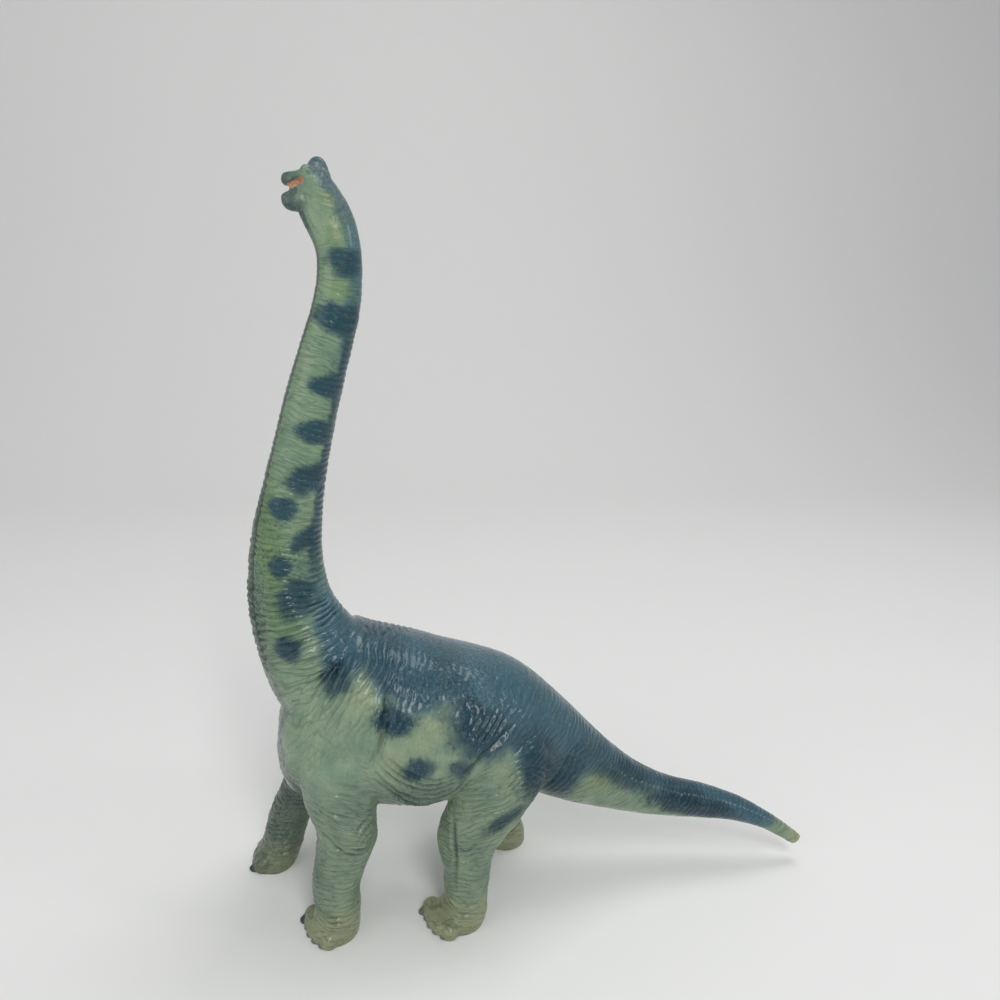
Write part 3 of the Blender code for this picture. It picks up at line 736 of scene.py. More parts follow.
def leg_wrinkles(at, name):
    """Height of a leg's level wrinkles, bulges and creases, and the darker paint in them."""
    height, depth = np.zeros((2, len(at.places)))
    here = at.legs[name][0] > 0
    weight, stood, local = [values[here] for values in at.legs[name]]
    seed = 20 + 6 * sorted(legs).index(name)
    folds = ramp(local[:, 2], 4, 13) * pleats(wrinkle_level(local, name) / leg_fold_step, local, seed)
    pressed, darkening = pressed_in(stood, leg_creases)
    pressed += leg_swell * noise(local, (13, 13, 6), seed + 5) - leg_fold_depth * folds
    for centre, radius, high in leg_bulges:
        pressed += high * near(np.linalg.norm(stood - centre, axis=1), radius / math.sqrt(2))
    height[here] = weight * pressed
    depth[here] = weight * (darkening + 0.30 * folds)
    return height, depth


def trunk_folds(at):
    """Height of the trunk's creases and of the arcs over the thigh, and the darker paint in them."""
    height, depth = [values * ramp(at.along, 100, 150) for values in pressed_in(at.own, trunk_creases)]
    for centre, least, most, spacing, deep in trunk_arcs:
        away = np.linalg.norm(at.own - centre, axis=1) + noise(at.places, (8, 8, 8), 40)
        arcs = ramp(away, least, least + spacing) * ramp(away, most, most - spacing)
        arcs *= ramp(at.z, centre[2], centre[2] + least) * wave(away / spacing) ** 2
        height -= deep * arcs
        depth += 0.3 * arcs
    return height, depth


def throat_folds(at):
    """The line along each side of the throat, and the knots between them and down the breast."""
    line = near(at.turn - np.interp(at.along, *throat_turns), 4) * ramp(at.along, 10, 20)
    line *= ramp(at.along, neck_end + 24, neck_end - 6) * (0.30 + 0.70 * ramp(at.along, 95, 150))
    knotted = ramp(at.turn, 148, 158) * ramp(at.along, neck_end + 84, neck_end + 50)
    breast = ramp(np.abs(at.y), 17, 12) * ramp(at.x, -110, -115) * (1 - at.on_leg)
    knotted = np.maximum(knotted, breast) * ramp(at.along, 110, 150)
    knots = np.abs(noise(at.places, (2.2, 2.2, 2.2), 60))
    height = knot_height * knotted * (knots - 0.3) - throat_depth * line
    return height, throat_depth * line + 0.6 * knotted * ramp(knots, 0.22, 0.05)


def relief(at):
    """How far the skin stands out, and how deep in a furrow each place lies."""
    # The rings end at the chest and part round the nape
    ringed = ramp(at.along, neck_end + 86, neck_end + 40) * ramp(at.along, 12, 26) * (1 - at.on_leg)
    ringed *= 1 - 0.75 * ramp(at.along, neck_end - 4, neck_end + 22) * ramp(at.turn, 88, 118)
    ringed *= ramp(np.hypot(at.x - nape_place[0], at.z - nape_place[1]), 3, 13)
    rest = (1 - ringed) * (1 - at.on_leg) * (at.along > 30)
    height, depth = neck_rings(at, ringed)
    layers = [tail_rings(at, rest * ramp(at.along, tail_start, tail_start + 20)),
              trunk_pebbles(at, rest * ramp(at.along, tail_start + 20, tail_start))]
    layers += [leg_wrinkles(at, name) for name in legs]
    layers += [trunk_folds(at), throat_folds(at)]
    for more_height, more_depth in layers:
        height += more_height
        depth += more_depth
    return height, np.clip(depth, 0, 1)


def corners_of(data):
    flat = np.empty(len(data.vertices) * 3, np.float32)
    data.vertices.foreach_get("co", flat)
    return flat.reshape(-1, 3).astype(float)


def press(data, height):
    """Move the skin along its own direction by a height in millimetres, inside the solid's own box."""
    facing = np.empty(len(data.vertices) * 3, np.float32)
    data.vertex_normals.foreach_get("vector", facing)
    moved = corners_of(data) + facing.reshape(-1, 3) * (height / metre)[:, None]
    inside = 0.00002
    moved[:, :2] = np.clip(moved[:, :2], np.array(cad_low)[:2] + inside, np.array(cad_high)[:2] - inside)
    moved[:, 2] = np.minimum(moved[:, 2], cad_high[2] - inside)
    data.vertices.foreach_set("co", moved.astype(np.float32).ravel())
    data.update()


def keep(data, name, values):
    """Store one value, or one place, for each corner, for the paint to read."""
    kind, part = ("FLOAT", "value") if values.ndim == 1 else ("FLOAT_VECTOR", "vector")
    stored = data.attributes.new(name, kind, "POINT").data
    stored.foreach_set(part, values.astype(np.float32).ravel())


# Paint
# Sage green all over, a blue-grey back, dark blue patches dabbed down the flanks and darker paint in the
# furrows, under a gloss coat. The belly, part of the chin and the legs are darkened as painted shade.
# Each place on the skin keeps how much of each paint it has.
# All lengths in this section are millimetres.

# Dark blue patches of the left side, mirrored: x, z, half length, half height, tilt in degrees, strength
neck_patches = (
    (-94, 298, 7.6, 6.4, 0, 0.85), (-97, 276.5, 9.8, 6.8, -8, 1), (-98.5, 249.5, 9.8, 5.4, -6, 1),
    (-104.5, 230.5, 9.4, 5, -16, 1), (-109, 212, 10.5, 6.4, 4, 1), (-119.8, 199.6, 6.2, 5.2, 0, 1),
    (-109, 186.5, 9.2, 4.6, 22, 1), (-121.7, 175, 5.7, 4.8, 0, 1), (-114.8, 161, 9.6, 8.4, 36, 0.90),
    (-119.2, 138.6, 6.3, 6.3, 0, 0.95), (-99.5, 127.5, 6.5, 8, -35, 0.75), (-104.6, 335.6, 3, 1.6, 0, 0.8),
)
body_patches = (
    (-75, 112.5, 9.5, 6, -14, 0.95), (-64.9, 90, 7.4, 5.6, 0, 1), (-38.5, 105, 14, 15.5, 20, 0.85),
    (-46, 88, 6.5, 5.5, 0, 0.8), (-8.5, 81, 12.5, 16.5, 18, 0.85), (8, 86, 18, 17, 0, 0.62),
    (-26, 61.5, 11.5, 4, 33, 0.75), (78, 38.5, 26, 7, -20, 0.95), (42, 59, 24, 6.4, -30, 0.7),
    (-14, 67, 14, 7, 35, 0.40), (-84, 131, 12, 7, -30, 0.45), (5, 61, 9.5, 13, 8, 0.8),
)
# Yellow-green tinges and cream ones, in the same way
tinges = (
    (-125.5, 178, 6, 36, 6, 0.75), (-95.5, 287.5, 6, 4, 0, 0.45), (-118, 150, 7, 6, 20, 0.4),
    (26, 61.5, 10, 6.6, -30, 0.5), (-101, 321, 3.4, 2.4, -20, 0.5), (-97.5, 309, 3.8, 6, 10, 0.5),
)
creams = (
    (-60, 106.5, 13, 5.6, 28, 0.34), (-89.5, 121, 7.5, 5, 35, 0.30), (-72, 97, 9, 5, 20, 0.25),
    (-101.5, 322.4, 2.4, 0.8, -20, 0.5), (-100.4, 319.4, 2.4, 0.9, -20, 0.5),
    (-98, 311.5, 2.6, 1.2, -20, 0.4), (-97.2, 307.5, 2.2, 1.6, -10, 0.5), (-29, 84, 7, 9, 20, 0.25),
    (26, 60.5, 7, 4, -30, 0.35),
)
# The lowest edge of the blue-grey back: x and z
back_edge = (
    (-118, 200), (-112, 156), (-107, 141), (-103, 128), (-98, 124), (-93, 127), (-87, 131), (-80, 120),
    (-66, 113), (-52, 112), (-44, 99), (-34, 88), (-24, 92), (-10, 74), (4, 62), (20, 64), (40, 57),
    (60, 46), (100, 27), (116, 21), (128, 25),
)
# The mouth's orange lining from front to corner, the eye and the nostril
lining_line = ((-115.4, 325), (-110.6, 327.5))
lining_radius = 1.15
eye_place = (-107.8, 330.4)
nostril_place = (-116.5, -1.6, 326.9)
face_creases = (
    (((-108.6, -5, 314), (-106.9, -5.5, 311.4), (-105.4, -5.5, 308.5), (-104.4, -5.5, 305),
      (-103.6, -5.5, 301)), 0.5, 0.5, 0.9),
    (((-105, -6.5, 325.6), (-102.6, -6.6, 324.9), (-100.4, -6.5, 324.9)),
      0.35, 0.28, 0.35, 5, (0.7, 0, -1.9)),
)


def dabs(places, rows, softness, edge):
    """Cover of a set of leaning oval dabs; edge makes their outline uneven."""
    cover = np.zeros(len(places))
    for x, z, half_long, half_high, tilt, strength in rows:
        turn = math.radians(tilt)
        off_x = places[:, 0] - x
        off_z = places[:, 2] - z
        long = (off_x * math.cos(turn) + off_z * math.sin(turn)) / half_long
        high = (off_z * math.cos(turn) - off_x * math.sin(turn)) / half_high
        dab = ramp(np.hypot(long, high) + edge, 1 + softness, 1 - softness)
        cover = np.maximum(cover, strength * dab)
    return cover


def line_distance(places, start, end):
    """Distance in x and z from a short line."""
    start, end = np.array(start), np.array(end)
    flat = places[:, [0, 2]] - start
    t = np.clip(flat @ (end - start) / ((end - start) @ (end - start)), 0, 1)
    return np.linalg.norm(flat - t[:, None] * (end - start), axis=1)


def from_eye(at):
    """Distance in x and z from the eye on either side, and far off at the middle of the skull."""
    return np.hypot(at.x - eye_place[0], at.z - eye_place[1]) + 9 * (np.abs(at.y) < 1.5)


def face_relief(at):
    """The eye's bulge and its lid, the nostril's pit and the wrinkles of cheek and throat."""
    high, darkening = pressed_in(at.own, face_creases)
    eye = from_eye(at)
    high += 0.32 * near(eye, 0.75) - 0.14 * near(eye - 1.25, 0.3)
    high += 0.09 * noise(at.places, (1.3, 1.3, 2.6), 70) + 0.05 * noise(at.places, (0.8, 0.8, 0.8), 71)
    pit = near(np.linalg.norm(at.own - nostril_place, axis=1), 0.55)
    return high - 0.4 * pit, np.clip(darkening + pit, 0, 1)


for each in (skin, head_skin):
    at = Skin(each.data)
    height, depth = relief(at)
    if each == head_skin:
        face_height, face_darkening = face_relief(at)
        height += face_height
        depth = np.clip(depth + face_darkening, 0, 1)
    press(each.data, height)
    keep(each.data, "furrow", depth)


def back_paint(at, uneven, on_body):
    """How high a place is over the back's edge, and the cover of the blue-grey back and crown."""
    edge_x, edge_z = np.array(back_edge).T
    steep = np.interp(at.x, edge_x, np.gradient(edge_z, edge_x))
    rise = (at.z - np.interp(at.x, edge_x, edge_z)) / np.hypot(1, steep) + 2 * uneven
    crown = ramp(at.along, 74, 40) * ramp(at.turn + 8 * uneven, 78, 56)
    return rise, np.maximum(ramp(rise + uneven, -4, 5) * on_body, 0.9 * crown)


def patch_paint(at, rise, on_body):
    """The dark blue of patches, nape and the back's edge, then the yellow-green and the cream tinges."""
    streaks = 0.16 * noise(at.spine, (1.6, 9, 9), 51) + 0.26 * noise(at.places, (7, 7, 6), 52)
    mottle = 0.22 * noise(at.places, (6, 6, 6), 53) + 0.16 * noise(at.places, (2.2, 2.2, 2.6), 54)
    blue = np.maximum(dabs(at.own, neck_patches, 0.46, streaks), dabs(at.own, body_patches, 0.66, mottle))
    nape = np.interp(at.along, (0, 30, 90, 130, 165, 190), (74, 60, 44, 46, 56, 62))
    strip = ramp(at.turn + 26 * streaks, nape + 12, nape - 10) * ramp(at.along, 30, 56)
    strip *= ramp(at.along, neck_end - 6, neck_end - 40)
    blue = np.maximum(blue, 0.85 * strip)
    blue *= 1 - 0.7 * on_body * ramp(rise, 14, 26) * ramp(at.x, -95, -85)
    band = on_body * ramp(rise, -1, 5) * ramp(rise, 26, 10) * ramp(at.x, 60, 20) * ramp(at.x, -98, -86)
    blue = np.maximum(blue, (0.50 + 0.5 * mottle) * band)
    tinge = dabs(at.own, tinges, 0.85, 0.6 * streaks)
    return blue, tinge, 0.9 * dabs(at.own, creams, 0.8, mottle)


def dull_paint_and_shade(at, uneven, on_body, head):
    """The dull throat, breast and snout, the chin partly as painted shade, and painted shade under the
    belly.
    """
    throat = 0.9 * ramp(at.turn, 146, 158) * ramp(at.along, neck_end + 80, neck_end + 40)
    breast = 0.8 * ramp(np.abs(at.y) + uneven, 17, 10) * ramp(at.x, -109, -115) * on_body
    snout = 0.65 * head * ramp(at.x, -108, -114)
    # The chin: its own slate, and partly painted shade under the head
    chin = head * ramp(at.z, 323.5, 318) * ramp(at.x + 0.6 * uneven, -106.5, -112)
    # Painted shade under the belly, darker towards the bottom
    belly = 0.8 * ramp(at.z + 2 * uneven, 92, 72) * ramp(np.abs(at.x + 62), 34, 16) * (1 - at.on_leg)
    return np.max((throat, breast, snout, chin, belly), 0)


def nail_paint(at, head):
    """The nails, the two slate claws and the eyes."""
    nail = 0.5 * ramp(from_eye(at), 0.95, 0.45) * head
    for name in legs:
        for toe, claw, halves in toe_places(name):
            away = (at.places - np.array(claw + middle) * metre) / (np.array(halves) * metre)
            slate = name.startswith("front") and halves[0] > nail_half_shares[0] * leg_half_width
            cover = 0.95 if slate else 0.5
            nail = np.maximum(nail, cover * ramp(np.linalg.norm(away, axis=1), 1.4, 1.1))
    return nail


def ring_run(at):
    """Where fine lines go round the neck and tail, and the run that they follow."""
    ringed = np.maximum(ramp(at.along, neck_end + 60, neck_end + 16) * ramp(at.along, 4, 20),
                        ramp(at.along, tail_start, tail_start + 20)) * (1 - at.on_leg)
    tail_count = (at.along - 0.5 * at.above) / 1.6
    count = np.where(at.along > tail_start - 30, tail_count, 1.65 * np.interp(at.along, *fold_counts))
    count = count + 0.4 * noise(at.places, (12, 12, 12), 55)
    return ringed, np.stack([count, at.side / 13, at.above / 13], 1)


def level_run(at):
    """The run that the fine lines of the nearest leg follow."""
    levels = np.zeros((len(at.places), 3))
    surest = np.zeros(len(at.places))
    for name, (weight, stood, local) in at.legs.items():
        nearest = weight > surest
        run = np.stack([wrinkle_level(local, name) / 1.5, local[:, 0] / 9, local[:, 1] / 9], 1)
        levels[nearest] = run[nearest]
        surest = np.maximum(surest, weight)
    return levels


def paint(data):
    """Store the cover of each paint, and the run of the skin's fine lines, on the corners of a piece."""
    at = Skin(data)
    uneven = noise(at.places, (9, 9, 6), 50)
    on_body = ramp(at.along, neck_end - 34, neck_end - 8)
    head = ramp(at.along, 6, 0.5)
    tip = ramp(at.x, 129, 140)
    rise, back = back_paint(at, uneven, on_body)
    blue, tinge, pale = patch_paint(at, rise, on_body)
    for weight, stood, local in at.legs.values():
        pale = np.maximum(pale, weight * (0.14 + 0.80 * ramp(local[:, 2] + 3 * uneven, 22, 7)))
    away = line_distance(at.places, *lining_line)
    lining = ramp(away, lining_radius + 0.15, lining_radius - 0.15) * head
    ringed, rings = ring_run(at)
    covers = {"patch": blue * (1 - tip), "back": back, "tinge": tinge,
              # The throat cover also holds the painted shade of the belly and part of the chin's
              "throat": dull_paint_and_shade(at, uneven, on_body, head),
              "pale": np.clip(np.maximum(pale, 0.8 * tip), 0, 1), "nail": nail_paint(at, head),
              "lining": lining, "ringed": ringed, "legged": at.on_leg, "levels": level_run(at),
              "rings": rings}
    for name, values in covers.items():
        keep(data, name, values)


def named_group(name, sockets_in, sockets_out):
    """A shader node group with named inputs and outputs."""
    group = bpy.data.node_groups.new(name, "ShaderNodeTree")
    for label, kind, default in sockets_in:
        socket = group.interface.new_socket(label, in_out="INPUT", socket_type="NodeSocket" + kind)
        socket.default_value = default
    for label, kind in sockets_out:
        group.interface.new_socket(label, in_out="OUTPUT", socket_type="NodeSocket" + kind)
    return group


line_width = 0.055


class Wiring:
    """Adds nodes to one tree and joins them."""

    def __init__(self, tree):
        self.tree = tree

    def add(self, kind, values=(), **settings):
        node = self.tree.nodes.new(kind if kind.startswith("Node") else "ShaderNode" + kind)
        for key, value in settings.items():
            setattr(node, key, value)
        for socket, value in dict(values).items():
            self.put(value, node.inputs[socket])
        return node

    def put(self, value, socket):
        if isinstance(value, bpy.types.NodeSocket):
            self.tree.links.new(value, socket)
        else:
            socket.default_value = value

    def mask(self, name):
        return self.add("Attribute", attribute_name=name).outputs["Fac"]

    def mixed(self, share, first, second):
        node = self.add("Mix", data_type="RGBA")
        self.put(share, node.inputs[0])
        self.put(first, node.inputs[6])
        self.put(second, node.inputs[7])
        return node.outputs[2]

    def times(self, first, second):
        return self.sum("MULTIPLY", first, second)

    def sum(self, way, first, second=0.0, third=None):
        node = self.add("Math", {0: first, 1: second}, operation=way)
        if third is not None:
            self.put(third, node.inputs[2])
        return node.outputs[0]

    def spread(self, value, low, high, least=0.0, most=1.0):
        node = self.add("MapRange", {"Value": value, "From Min": low, "From Max": high,
                                     "To Min": least, "To Max": most}, interpolation_type="SMOOTHSTEP")
        return node.outputs[0]

    def fine_lines(self, name, cover):
        """Thin wavering lines that follow a stored run, where a stored cover is."""
        run = self.add("Attribute", attribute_name=name).outputs["Vector"]
        field = self.add("TexNoise", {"Vector": run, "Scale": 1.0, "Detail": 1.0}).outputs[0]
        off = self.sum("ABSOLUTE", self.sum("SUBTRACT", field, 0.5))
        return self.times(self.spread(off, 0.0, line_width, 1.0, 0.0), self.mask(cover))


# The throat paint is also painted shade on the belly and partly on the chin; the darkest green-grey goes
# into the furrows
paints = {"Base": (0.182, 0.272, 0.186), "Back": (0.040, 0.110, 0.146), "Patch": (0.004, 0.038, 0.061),
          "Tinge": (0.112, 0.200, 0.066), "Pale": (0.320, 0.345, 0.195), "Nail": (0.030, 0.056, 0.074),
          "Throat": (0.085, 0.125, 0.100), "Lining": (0.430, 0.175, 0.085), "Furrow_Dark": (0.022, 0.042, 0.043),
          "Rub": (0.400, 0.480, 0.390)}
skin_group = named_group("painted_skin", [(name, "Color", (*colour, 1)) for name, colour in paints.items()]
                         + [("Place", "Vector", (0, 0, 0))],
                         (("Color", "Color"), ("Roughness", "Float"), ("Height", "Float")))
wire = Wiring(skin_group)
given = wire.add("NodeGroupInput").outputs
blotch = wire.add("TexNoise", {"Vector": given["Place"], "Scale": 95, "Detail": 5}).outputs[0]
speck = wire.add("TexNoise", {"Vector": given["Place"], "Scale": 900, "Detail": 3}).outputs[0]
tall = wire.add("Mapping", {"Vector": given["Place"], "Scale": (1, 1, 0.55)}).outputs[0]
cells = {"Vector": tall, "Scale": 640, "Smoothness": 0.4}
pebble = wire.add("TexVoronoi", cells, feature="SMOOTH_F1").outputs[0]
lines = wire.sum("MAXIMUM", wire.fine_lines("rings", "ringed"), wire.fine_lines("levels", "legged"))
pebbled = wire.sum("SUBTRACT", 1.0, wire.sum("MAXIMUM", wire.mask("ringed"), wire.mask("legged")))
furrow = wire.mask("furrow")

# Sage green with paler blotches, then each sprayed paint over it; the patches thin out in specks
colour = wire.mixed(wire.spread(blotch, 0.35, 0.75, 0.0, 0.30), given["Base"], given["Pale"])
# The throat paint's cover also lays painted shade on the belly and part of the chin
for name in ("back", "tinge", "pale", "throat"):
    colour = wire.mixed(wire.mask(name), colour, given[name.title()])
patch = wire.mask("patch")
half_covered = wire.times(patch, wire.sum("SUBTRACT", 1.0, patch))
broken = wire.times(half_covered, 3.2)
cover = wire.sum("MULTIPLY_ADD", wire.sum("SUBTRACT", speck, 0.5), broken, patch)
colour = wire.mixed(wire.spread(cover, 0.05, 0.95), colour, given["Patch"])

# Tops rubbed pale, darker paint in the furrows and along the fine lines, then the nails and the mouth
tops = wire.spread(wire.times(wire.spread(furrow, 0.30, 0.0), speck), 0.44, 0.68, 0.0, 0.13)
colour = wire.mixed(tops, colour, given["Rub"])
darkening = wire.sum("MAXIMUM", wire.spread(furrow, 0.12, 1.0, 0.0, 0.80), wire.times(lines, 0.42))
colour = wire.mixed(darkening, colour, given["Furrow_Dark"])
colour = wire.mixed(wire.mask("nail"), colour, given["Nail"])
lining = wire.mixed(wire.spread(speck, 0.40, 0.70, 0.0, 0.45), given["Lining"], given["Rub"])
colour = wire.mixed(wire.mask("lining"), colour, lining)
# Random lighter and darker tone, and the legs 16 % darker as painted shade
tone_and_leg_shade = wire.sum("MULTIPLY_ADD", wire.mask("legged"), -0.16, wire.spread(blotch, 0.2, 0.8, 0.90, 1.12))
tint = wire.add("HueSaturation", {"Value": tone_and_leg_shade, "Color": colour}).outputs[0]

# The furrows are duller; pebbles, fine lines and specks are raised or pressed
rough = wire.sum("ADD", wire.spread(speck, 0.3, 0.7, 0.24, 0.36), wire.times(furrow, 0.2))
grain = wire.times(wire.times(pebble, pebbled), -1.3)
grain = wire.sum("MULTIPLY_ADD", lines, -0.30, grain)
grain = wire.sum("MULTIPLY_ADD", speck, 0.22, grain)
wire.add("NodeGroupOutput", {"Color": tint, "Roughness": rough, "Height": grain})
bump_reach = 0.0006
coat_roughness = 0.14
under_gloss = 0.20


def skin_material(name, bump, gloss=0.55, **colours):
    """Painted vinyl with a thin gloss coat."""
    vinyl = bpy.data.materials.new(name)
    vinyl.use_nodes = True
    wire = Wiring(vinyl.node_tree)
    shader = vinyl.node_tree.nodes["Principled BSDF"]
    place = wire.add("TexCoord").outputs["Object"]
    coat = wire.add("Group", node_tree=skin_group)
    wire.put(place, coat.inputs["Place"])
    for label, colour in colours.items():
        coat.inputs[label].default_value = (*colour, 1)
    wire.put(coat.outputs["Color"], shader.inputs["Base Color"])
    wire.put(coat.outputs["Roughness"], shader.inputs["Roughness"])
    bumped = wire.add("Bump", {"Height": coat.outputs["Height"], "Strength": bump, "Distance": bump_reach})
    wire.put(bumped.outputs[0], shader.inputs["Normal"])
    shader.inputs["Specular IOR Level"].default_value = under_gloss
    shader.inputs["Coat Weight"].default_value = gloss
    shader.inputs["Coat Roughness"].default_value = coat_roughness
    return vinyl


# Cutting the skin into mouldings
# The neck, the legs, the tail and the open mouth are undercuts to each other, so the sculpture is parted
# into nine. Each seam is a flat cut laid in a crease, where the parts are glued and painted over.

seam_gap = 0.000012
region_reach = 0.4
tail_space_share = 2.5
neck_seam_index = 3
head_seam_index = 14
tail_seam_index = len(trunk_shares) + 1
up = Vector((0, 0, 1))
back_way = Vector((1, 0, 0))


def guide(name, *shapes):
    """A solid that cuts others; each shape is a function and what it takes."""
    mesh = bmesh.new()
    for make, *values in shapes:
        make(mesh, *values)
    bmesh.ops.transform(mesh, matrix=Matrix.Translation(middle), verts=mesh.verts)
    bmesh.ops.triangulate(mesh, faces=mesh.faces)
    return as_object(mesh, name)


def slab(mesh, foot, axis, width, depth, reach):
    """Add a square bar that starts at its foot and runs along the axis."""
    turn = axis.to_track_quat("Z", "Y").to_matrix().to_4x4()
    place = (Matrix.Translation(foot) @ turn @ Matrix.Translation((0, 0, reach / 2))
             @ Matrix.Diagonal((width, depth, reach, 1)))
    bmesh.ops.create_cube(mesh, size=1, matrix=place)


def beyond(name, centre, axis, start, breadth=region_reach):
    """Everything past a seam."""
    return guide(name, (slab, centre + axis * start, axis, breadth, breadth, region_reach))


def seam(station, facing):
    """The seam's centre and its direction towards the plugged piece."""
    centre, depth, width = station
    axis = depth.cross(width).normalized()
    return centre, axis * (1 if axis.dot(facing) > 0 else -1)


def piece_of(whole, name, *cuts):
    """A part of the skin: each cut is an operation and the solid that makes it."""
    piece = placed(name, whole.data.copy())
    for operation, solid in cuts:
        step = piece.modifiers.new(solid.name, "BOOLEAN")
        step.operation = operation
        step.solver = "MANIFOLD"
        step.object = solid
    return settled(piece)


most_faces = 190000
sharp_edge = math.radians(60)


def finish_skin(piece, node, material):
    """Thin a piece that is too fine, paint it and let it stand for its solid."""
    corners = sum(len(face.vertices) - 2 for face in piece.data.polygons)
    if corners > most_faces:
        thin = piece.modifiers.new("thin", "DECIMATE")
        thin.ratio = most_faces / corners
        settled(piece)
    paint(piece.data)
    piece.data.shade_smooth()
    piece.data.set_sharp_from_angle(angle=sharp_edge)
    piece.data.materials.clear()
    piece.data.materials.append(material)
    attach(piece, "root")
    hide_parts(node)


# Leg regions, as shares of the leg's half width and of the trunk
seam_slant = 52
seam_rise_shares = {"front": 0.297, "hind": 0.308}
seam_place_shares = {"front": -0.16, "hind": 0.02}
seam_spread_share = 0.86
seam_half_length_shares = {"front": 1.70, "hind": 2.05}
seam_half_width_share = 2.60
seam_seat_share = 0.72
seam_shoulder_share = 0.42
knee_level_share = 0.40
region_half_share = 1.95


def leg_region(name, label, grow, floor):
    """The space that a leg fills, from a slanting seam inside the shoulder or thigh down to a level."""
    stride, side = legs[name][2:4]
    end = name.split("_")[0]
    sections = leg_sections(name)
    rise = belly_height + seam_rise_shares[end] * trunk_depth
    slant = math.radians(seam_slant)
    lean = stride * (1 - rise / leg_height)
    centre = Vector((legs[name][1] * trunk_length + seam_place_shares[end] * leg_half_width + lean,
                     side * seam_spread_share * leg_spread, rise))
    depth = Vector((seam_half_length_shares[end] * leg_half_width, 0, 0))
    width = Vector((0, math.cos(slant), side * math.sin(slant))) * seam_half_width_share * leg_half_width
    foot = sections[-1][0].copy()
    foot.z = floor
    knee_row = min(sections, key=lambda row: abs(row[0].z - knee_level_share * leg_height))
    knee = Vector((knee_row[0].x, knee_row[0].y, knee_level_share * leg_height))
    reach = region_half_share * leg_half_width + grow
    lift = depth.cross(width).normalized()
    lift = lift if lift.z > 0 else -lift
    depth = depth * (1 + grow / depth.length)
    width = width * (1 + grow / width.length)
    rings = [(centre + lift * grow, depth * seam_seat_share, width * seam_seat_share),
             (centre + lift * (grow - seam_shoulder_share * leg_half_width), depth, width),
             (knee, Vector((reach, 0, 0)), Vector((0, reach, 0))),
             (foot, Vector((reach, 0, 0)), Vector((0, reach, 0)))]
    return guide(label, (sweep, rings))


# Torso
# The trunk is one hollow skin of soft vinyl, about 3 mm thick, with the withers high and the rump low.
# It has six sockets, and everything else is plugged and glued into it.

neck_cut, neck_way = seam(neck_sections[neck_seam_index], up)
tail_cut, tail_way = seam(trunk_sections[tail_seam_index], back_way)
tail_breadth = tail_space_share * tail_half_width
under_soles = -0.1 * leg_height
torso_cuts = [("DIFFERENCE", beyond("past_neck_seam", neck_cut, neck_way, -seam_gap)),
              ("DIFFERENCE", beyond("past_tail_seam", tail_cut, tail_way, -seam_gap, tail_breadth))]
for name in legs:
    torso_cuts.append(("DIFFERENCE", leg_region(name, name + "_gap", seam_gap, under_soles)))
torso = piece_of(skin, "torso_skin", *torso_cuts)
finish_skin(torso, "torso", skin_material("back_vinyl", 1.0))

# Neck
# A hollow tapering tube of the same vinyl, a little less glossy. A keyed plug glues its foot into the
# torso, and a round peg at its top holds the head.

head_cut, head_way = seam(neck_sections[head_seam_index], up)
neck = piece_of(skin, "neck_skin", ("INTERSECT", beyond("neck_space", neck_cut, neck_way, 0)),
                ("DIFFERENCE", beyond("past_head_seam", head_cut, head_way, -seam_gap)))
neck_vinyl = skin_material("neck_vinyl", 0.6, 0.46, Base=(0.168, 0.272, 0.176),
                           Patch=(0.014, 0.060, 0.082), Back=(0.066, 0.146, 0.180))
finish_skin(neck, "neck", neck_vinyl)

# Head
# A small solid skull of vinyl with a domed crest, brows and the upper jaw, almost without gloss. It is
# plugged onto the neck and glued.

jaw_back_share = 0.37
jaw_top_share = 0.40
jaw_base_share = -0.26
# Dark slate of the snout and chin, partly painted shade under the head
face_slate_and_shade = (0.055, 0.090, 0.088)


def jaw_box(label, grow):
    """The space of the lower jaw, in front of the mouth's corner and below the mouth's gap."""
    corner = Vector((head_start[0] + jaw_back_share * head_length + grow, 0,
                     head_start[1] + (jaw_top_share + jaw_base_share) / 2 * head_height + grow / 2))
    tall = (jaw_top_share - jaw_base_share) * head_height + grow
    return guide(label, (slab, corner, -back_way, head_length, tall, head_length))


head = piece_of(head_skin, "head_moulding", ("INTERSECT", beyond("head_space", head_cut, head_way, 0)),
                ("DIFFERENCE", jaw_box("jaw_gap_box", seam_gap)))
head_vinyl = skin_material("head_vinyl", 0.45, 0.14, Back=(0.088, 0.132, 0.156),
                           Patch=(0.055, 0.100, 0.120), Throat=face_slate_and_shade)
finish_skin(head, "head", head_vinyl)

# Lower jaw
# A small separate moulding with a peg, because the open mouth can't leave one mould. It is glued under
# the skull before the mouth is painted orange.

jaw = piece_of(head_skin, "jaw_moulding", ("INTERSECT", jaw_box("jaw_space", 0)))
finish_skin(jaw, "lower_jaw", skin_material("jaw_vinyl", 0.45, 0.14, Throat=face_slate_and_shade))

# Tail
# Vinyl, hollow at its root and solid at its end, with a keyed plug that is glued into the torso. Its
# paints are darker, and its tip is pale.

tail_space = beyond("tail_space", tail_cut, tail_way, 0, tail_breadth)
tail = piece_of(skin, "tail_skin", ("INTERSECT", tail_space))
tail_vinyl = skin_material("tail_vinyl", 0.55, Back=(0.034, 0.098, 0.134), Patch=(0.002, 0.030, 0.050))
finish_skin(tail, "tail", tail_vinyl)

# Legs
# Four hollow vinyl legs with flat soles, in mid-stride. Each has a keyed plug that enters the torso at a
# slant and is glued there, inside the shoulder or the thigh.

leg_vinyl = skin_material("leg_vinyl", 0.6, 0.40, Base=(0.182, 0.280, 0.203))
for name in legs:
    leg = piece_of(skin, name + "_skin", ("INTERSECT", leg_region(name, name + "_region", 0, 0)))
    finish_skin(leg, name, leg_vinyl)

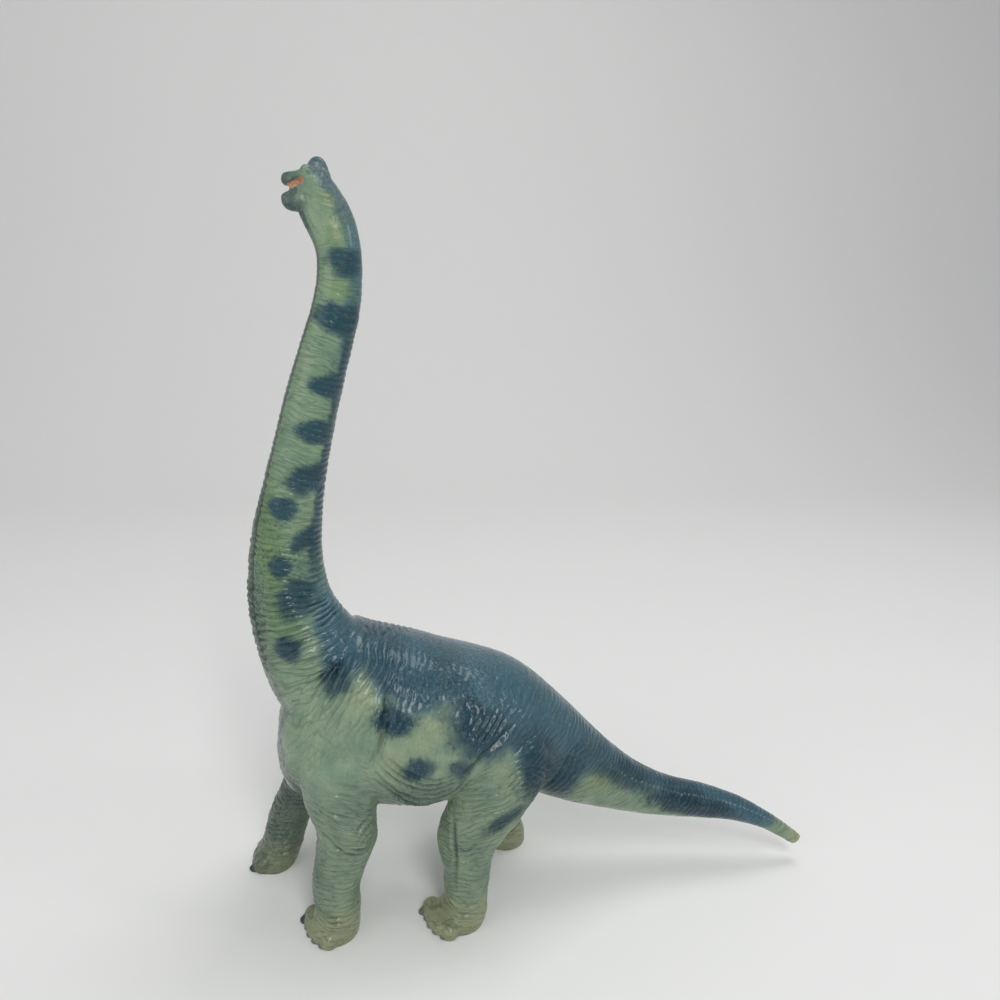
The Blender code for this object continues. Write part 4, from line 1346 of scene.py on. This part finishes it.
for spare in [made for made in bpy.data.objects if made.type == "MESH" and not made.parent]:
    bpy.data.objects.remove(spare, do_unlink=True)


# Stage
# A sheet of pale paper that curves up behind the figure, soft lamps, and the camera at the photograph's
# angle.

paper_colour = (0.86, 0.86, 0.845, 1)
paper_shadow = (0.7, 0.7, 0.7, 1)
paper_half = 3.0
paper_rows = 240
paper_roughness = 0.9
bend_start = 0.7
bend_radius = 0.6
mesh = bmesh.new()
bmesh.ops.create_grid(mesh, x_segments=1, y_segments=paper_rows, size=paper_half)
for vert in mesh.verts:
    past = vert.co.y - bend_start
    if past > 0:
        turn = min(past / bend_radius, math.pi / 2)
        vert.co.y = bend_start + bend_radius * math.sin(turn)
        vert.co.z = bend_radius * (1 - math.cos(turn)) + max(0, past - bend_radius * math.pi / 2)
sheet = as_object(mesh, "paper_sheet")
sheet.data.flip_normals()
sheet.data.shade_smooth()
paper = bpy.data.materials.new("pale_paper")
paper.use_nodes = True
wire = Wiring(paper.node_tree)
place = wire.add("TexCoord").outputs["Object"]
mottle = wire.add("TexNoise", {"Vector": place, "Scale": 40, "Detail": 4}).outputs[0]
shader = paper.node_tree.nodes["Principled BSDF"]
wire.put(wire.mixed(wire.spread(mottle, 0.3, 0.7, 0.0, 0.03), paper_colour, paper_shadow),
         shader.inputs["Base Color"])
shader.inputs["Roughness"].default_value = paper_roughness
sheet.data.materials.append(paper)
sheet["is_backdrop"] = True

world = bpy.data.worlds.new("studio")
bpy.context.scene.world = world
world.use_nodes = True
sky = world.node_tree.nodes["Background"].inputs
sky["Color"].default_value = (0.96, 0.98, 1.0, 1)
sky["Strength"].default_value = 0.35

# Soft lamps: place, the point each shines at, width, height, power
chest_place = (-0.03, 0, 0.15)
tail_place = (0.08, 0, 0.05)
lamps = {
    "key": ((0.06, -1.02, 1.17), chest_place, 0.36, 0.90, 8.8),
    "fill": ((-1.0, -0.6, 0.6), chest_place, 0.9, 0.9, 2.6),
    "rim": ((0.3, 0.3, 1.35), chest_place, 0.6, 0.6, 4.4),
    "side": ((0.94, -0.45, 0.74), tail_place, 0.16, 0.3, 0.9),
}
for name, (place, aim, wide, tall, power) in lamps.items():
    data = bpy.data.lights.new(name, "AREA")
    data.shape = "RECTANGLE"
    data.size = wide
    data.size_y = tall
    data.energy = power
    light = placed(name, data)
    light.location = place
    light.rotation_mode = "QUATERNION"
    light.rotation_quaternion = (Vector(aim) - Vector(place)).to_track_quat("-Z", "Y")

camera_place = (-0.09704, -0.34110, 0.29700)
camera_right = Vector((0.98092, -0.18901, 0.04549))
camera_up = Vector((0.00822, 0.27410, 0.96167))
camera_back = camera_right.cross(camera_up)
view = bpy.data.cameras.new("view")
view.sensor_width = 36
view.lens = 29.124
camera = placed("view", view)
turn = Matrix((camera_right, camera_up, camera_back)).transposed().to_4x4()
camera.matrix_world = Matrix.Translation(camera_place) @ turn
bpy.context.scene.camera = camera
bpy.context.scene.view_settings.view_transform = "Standard"

low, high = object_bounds()
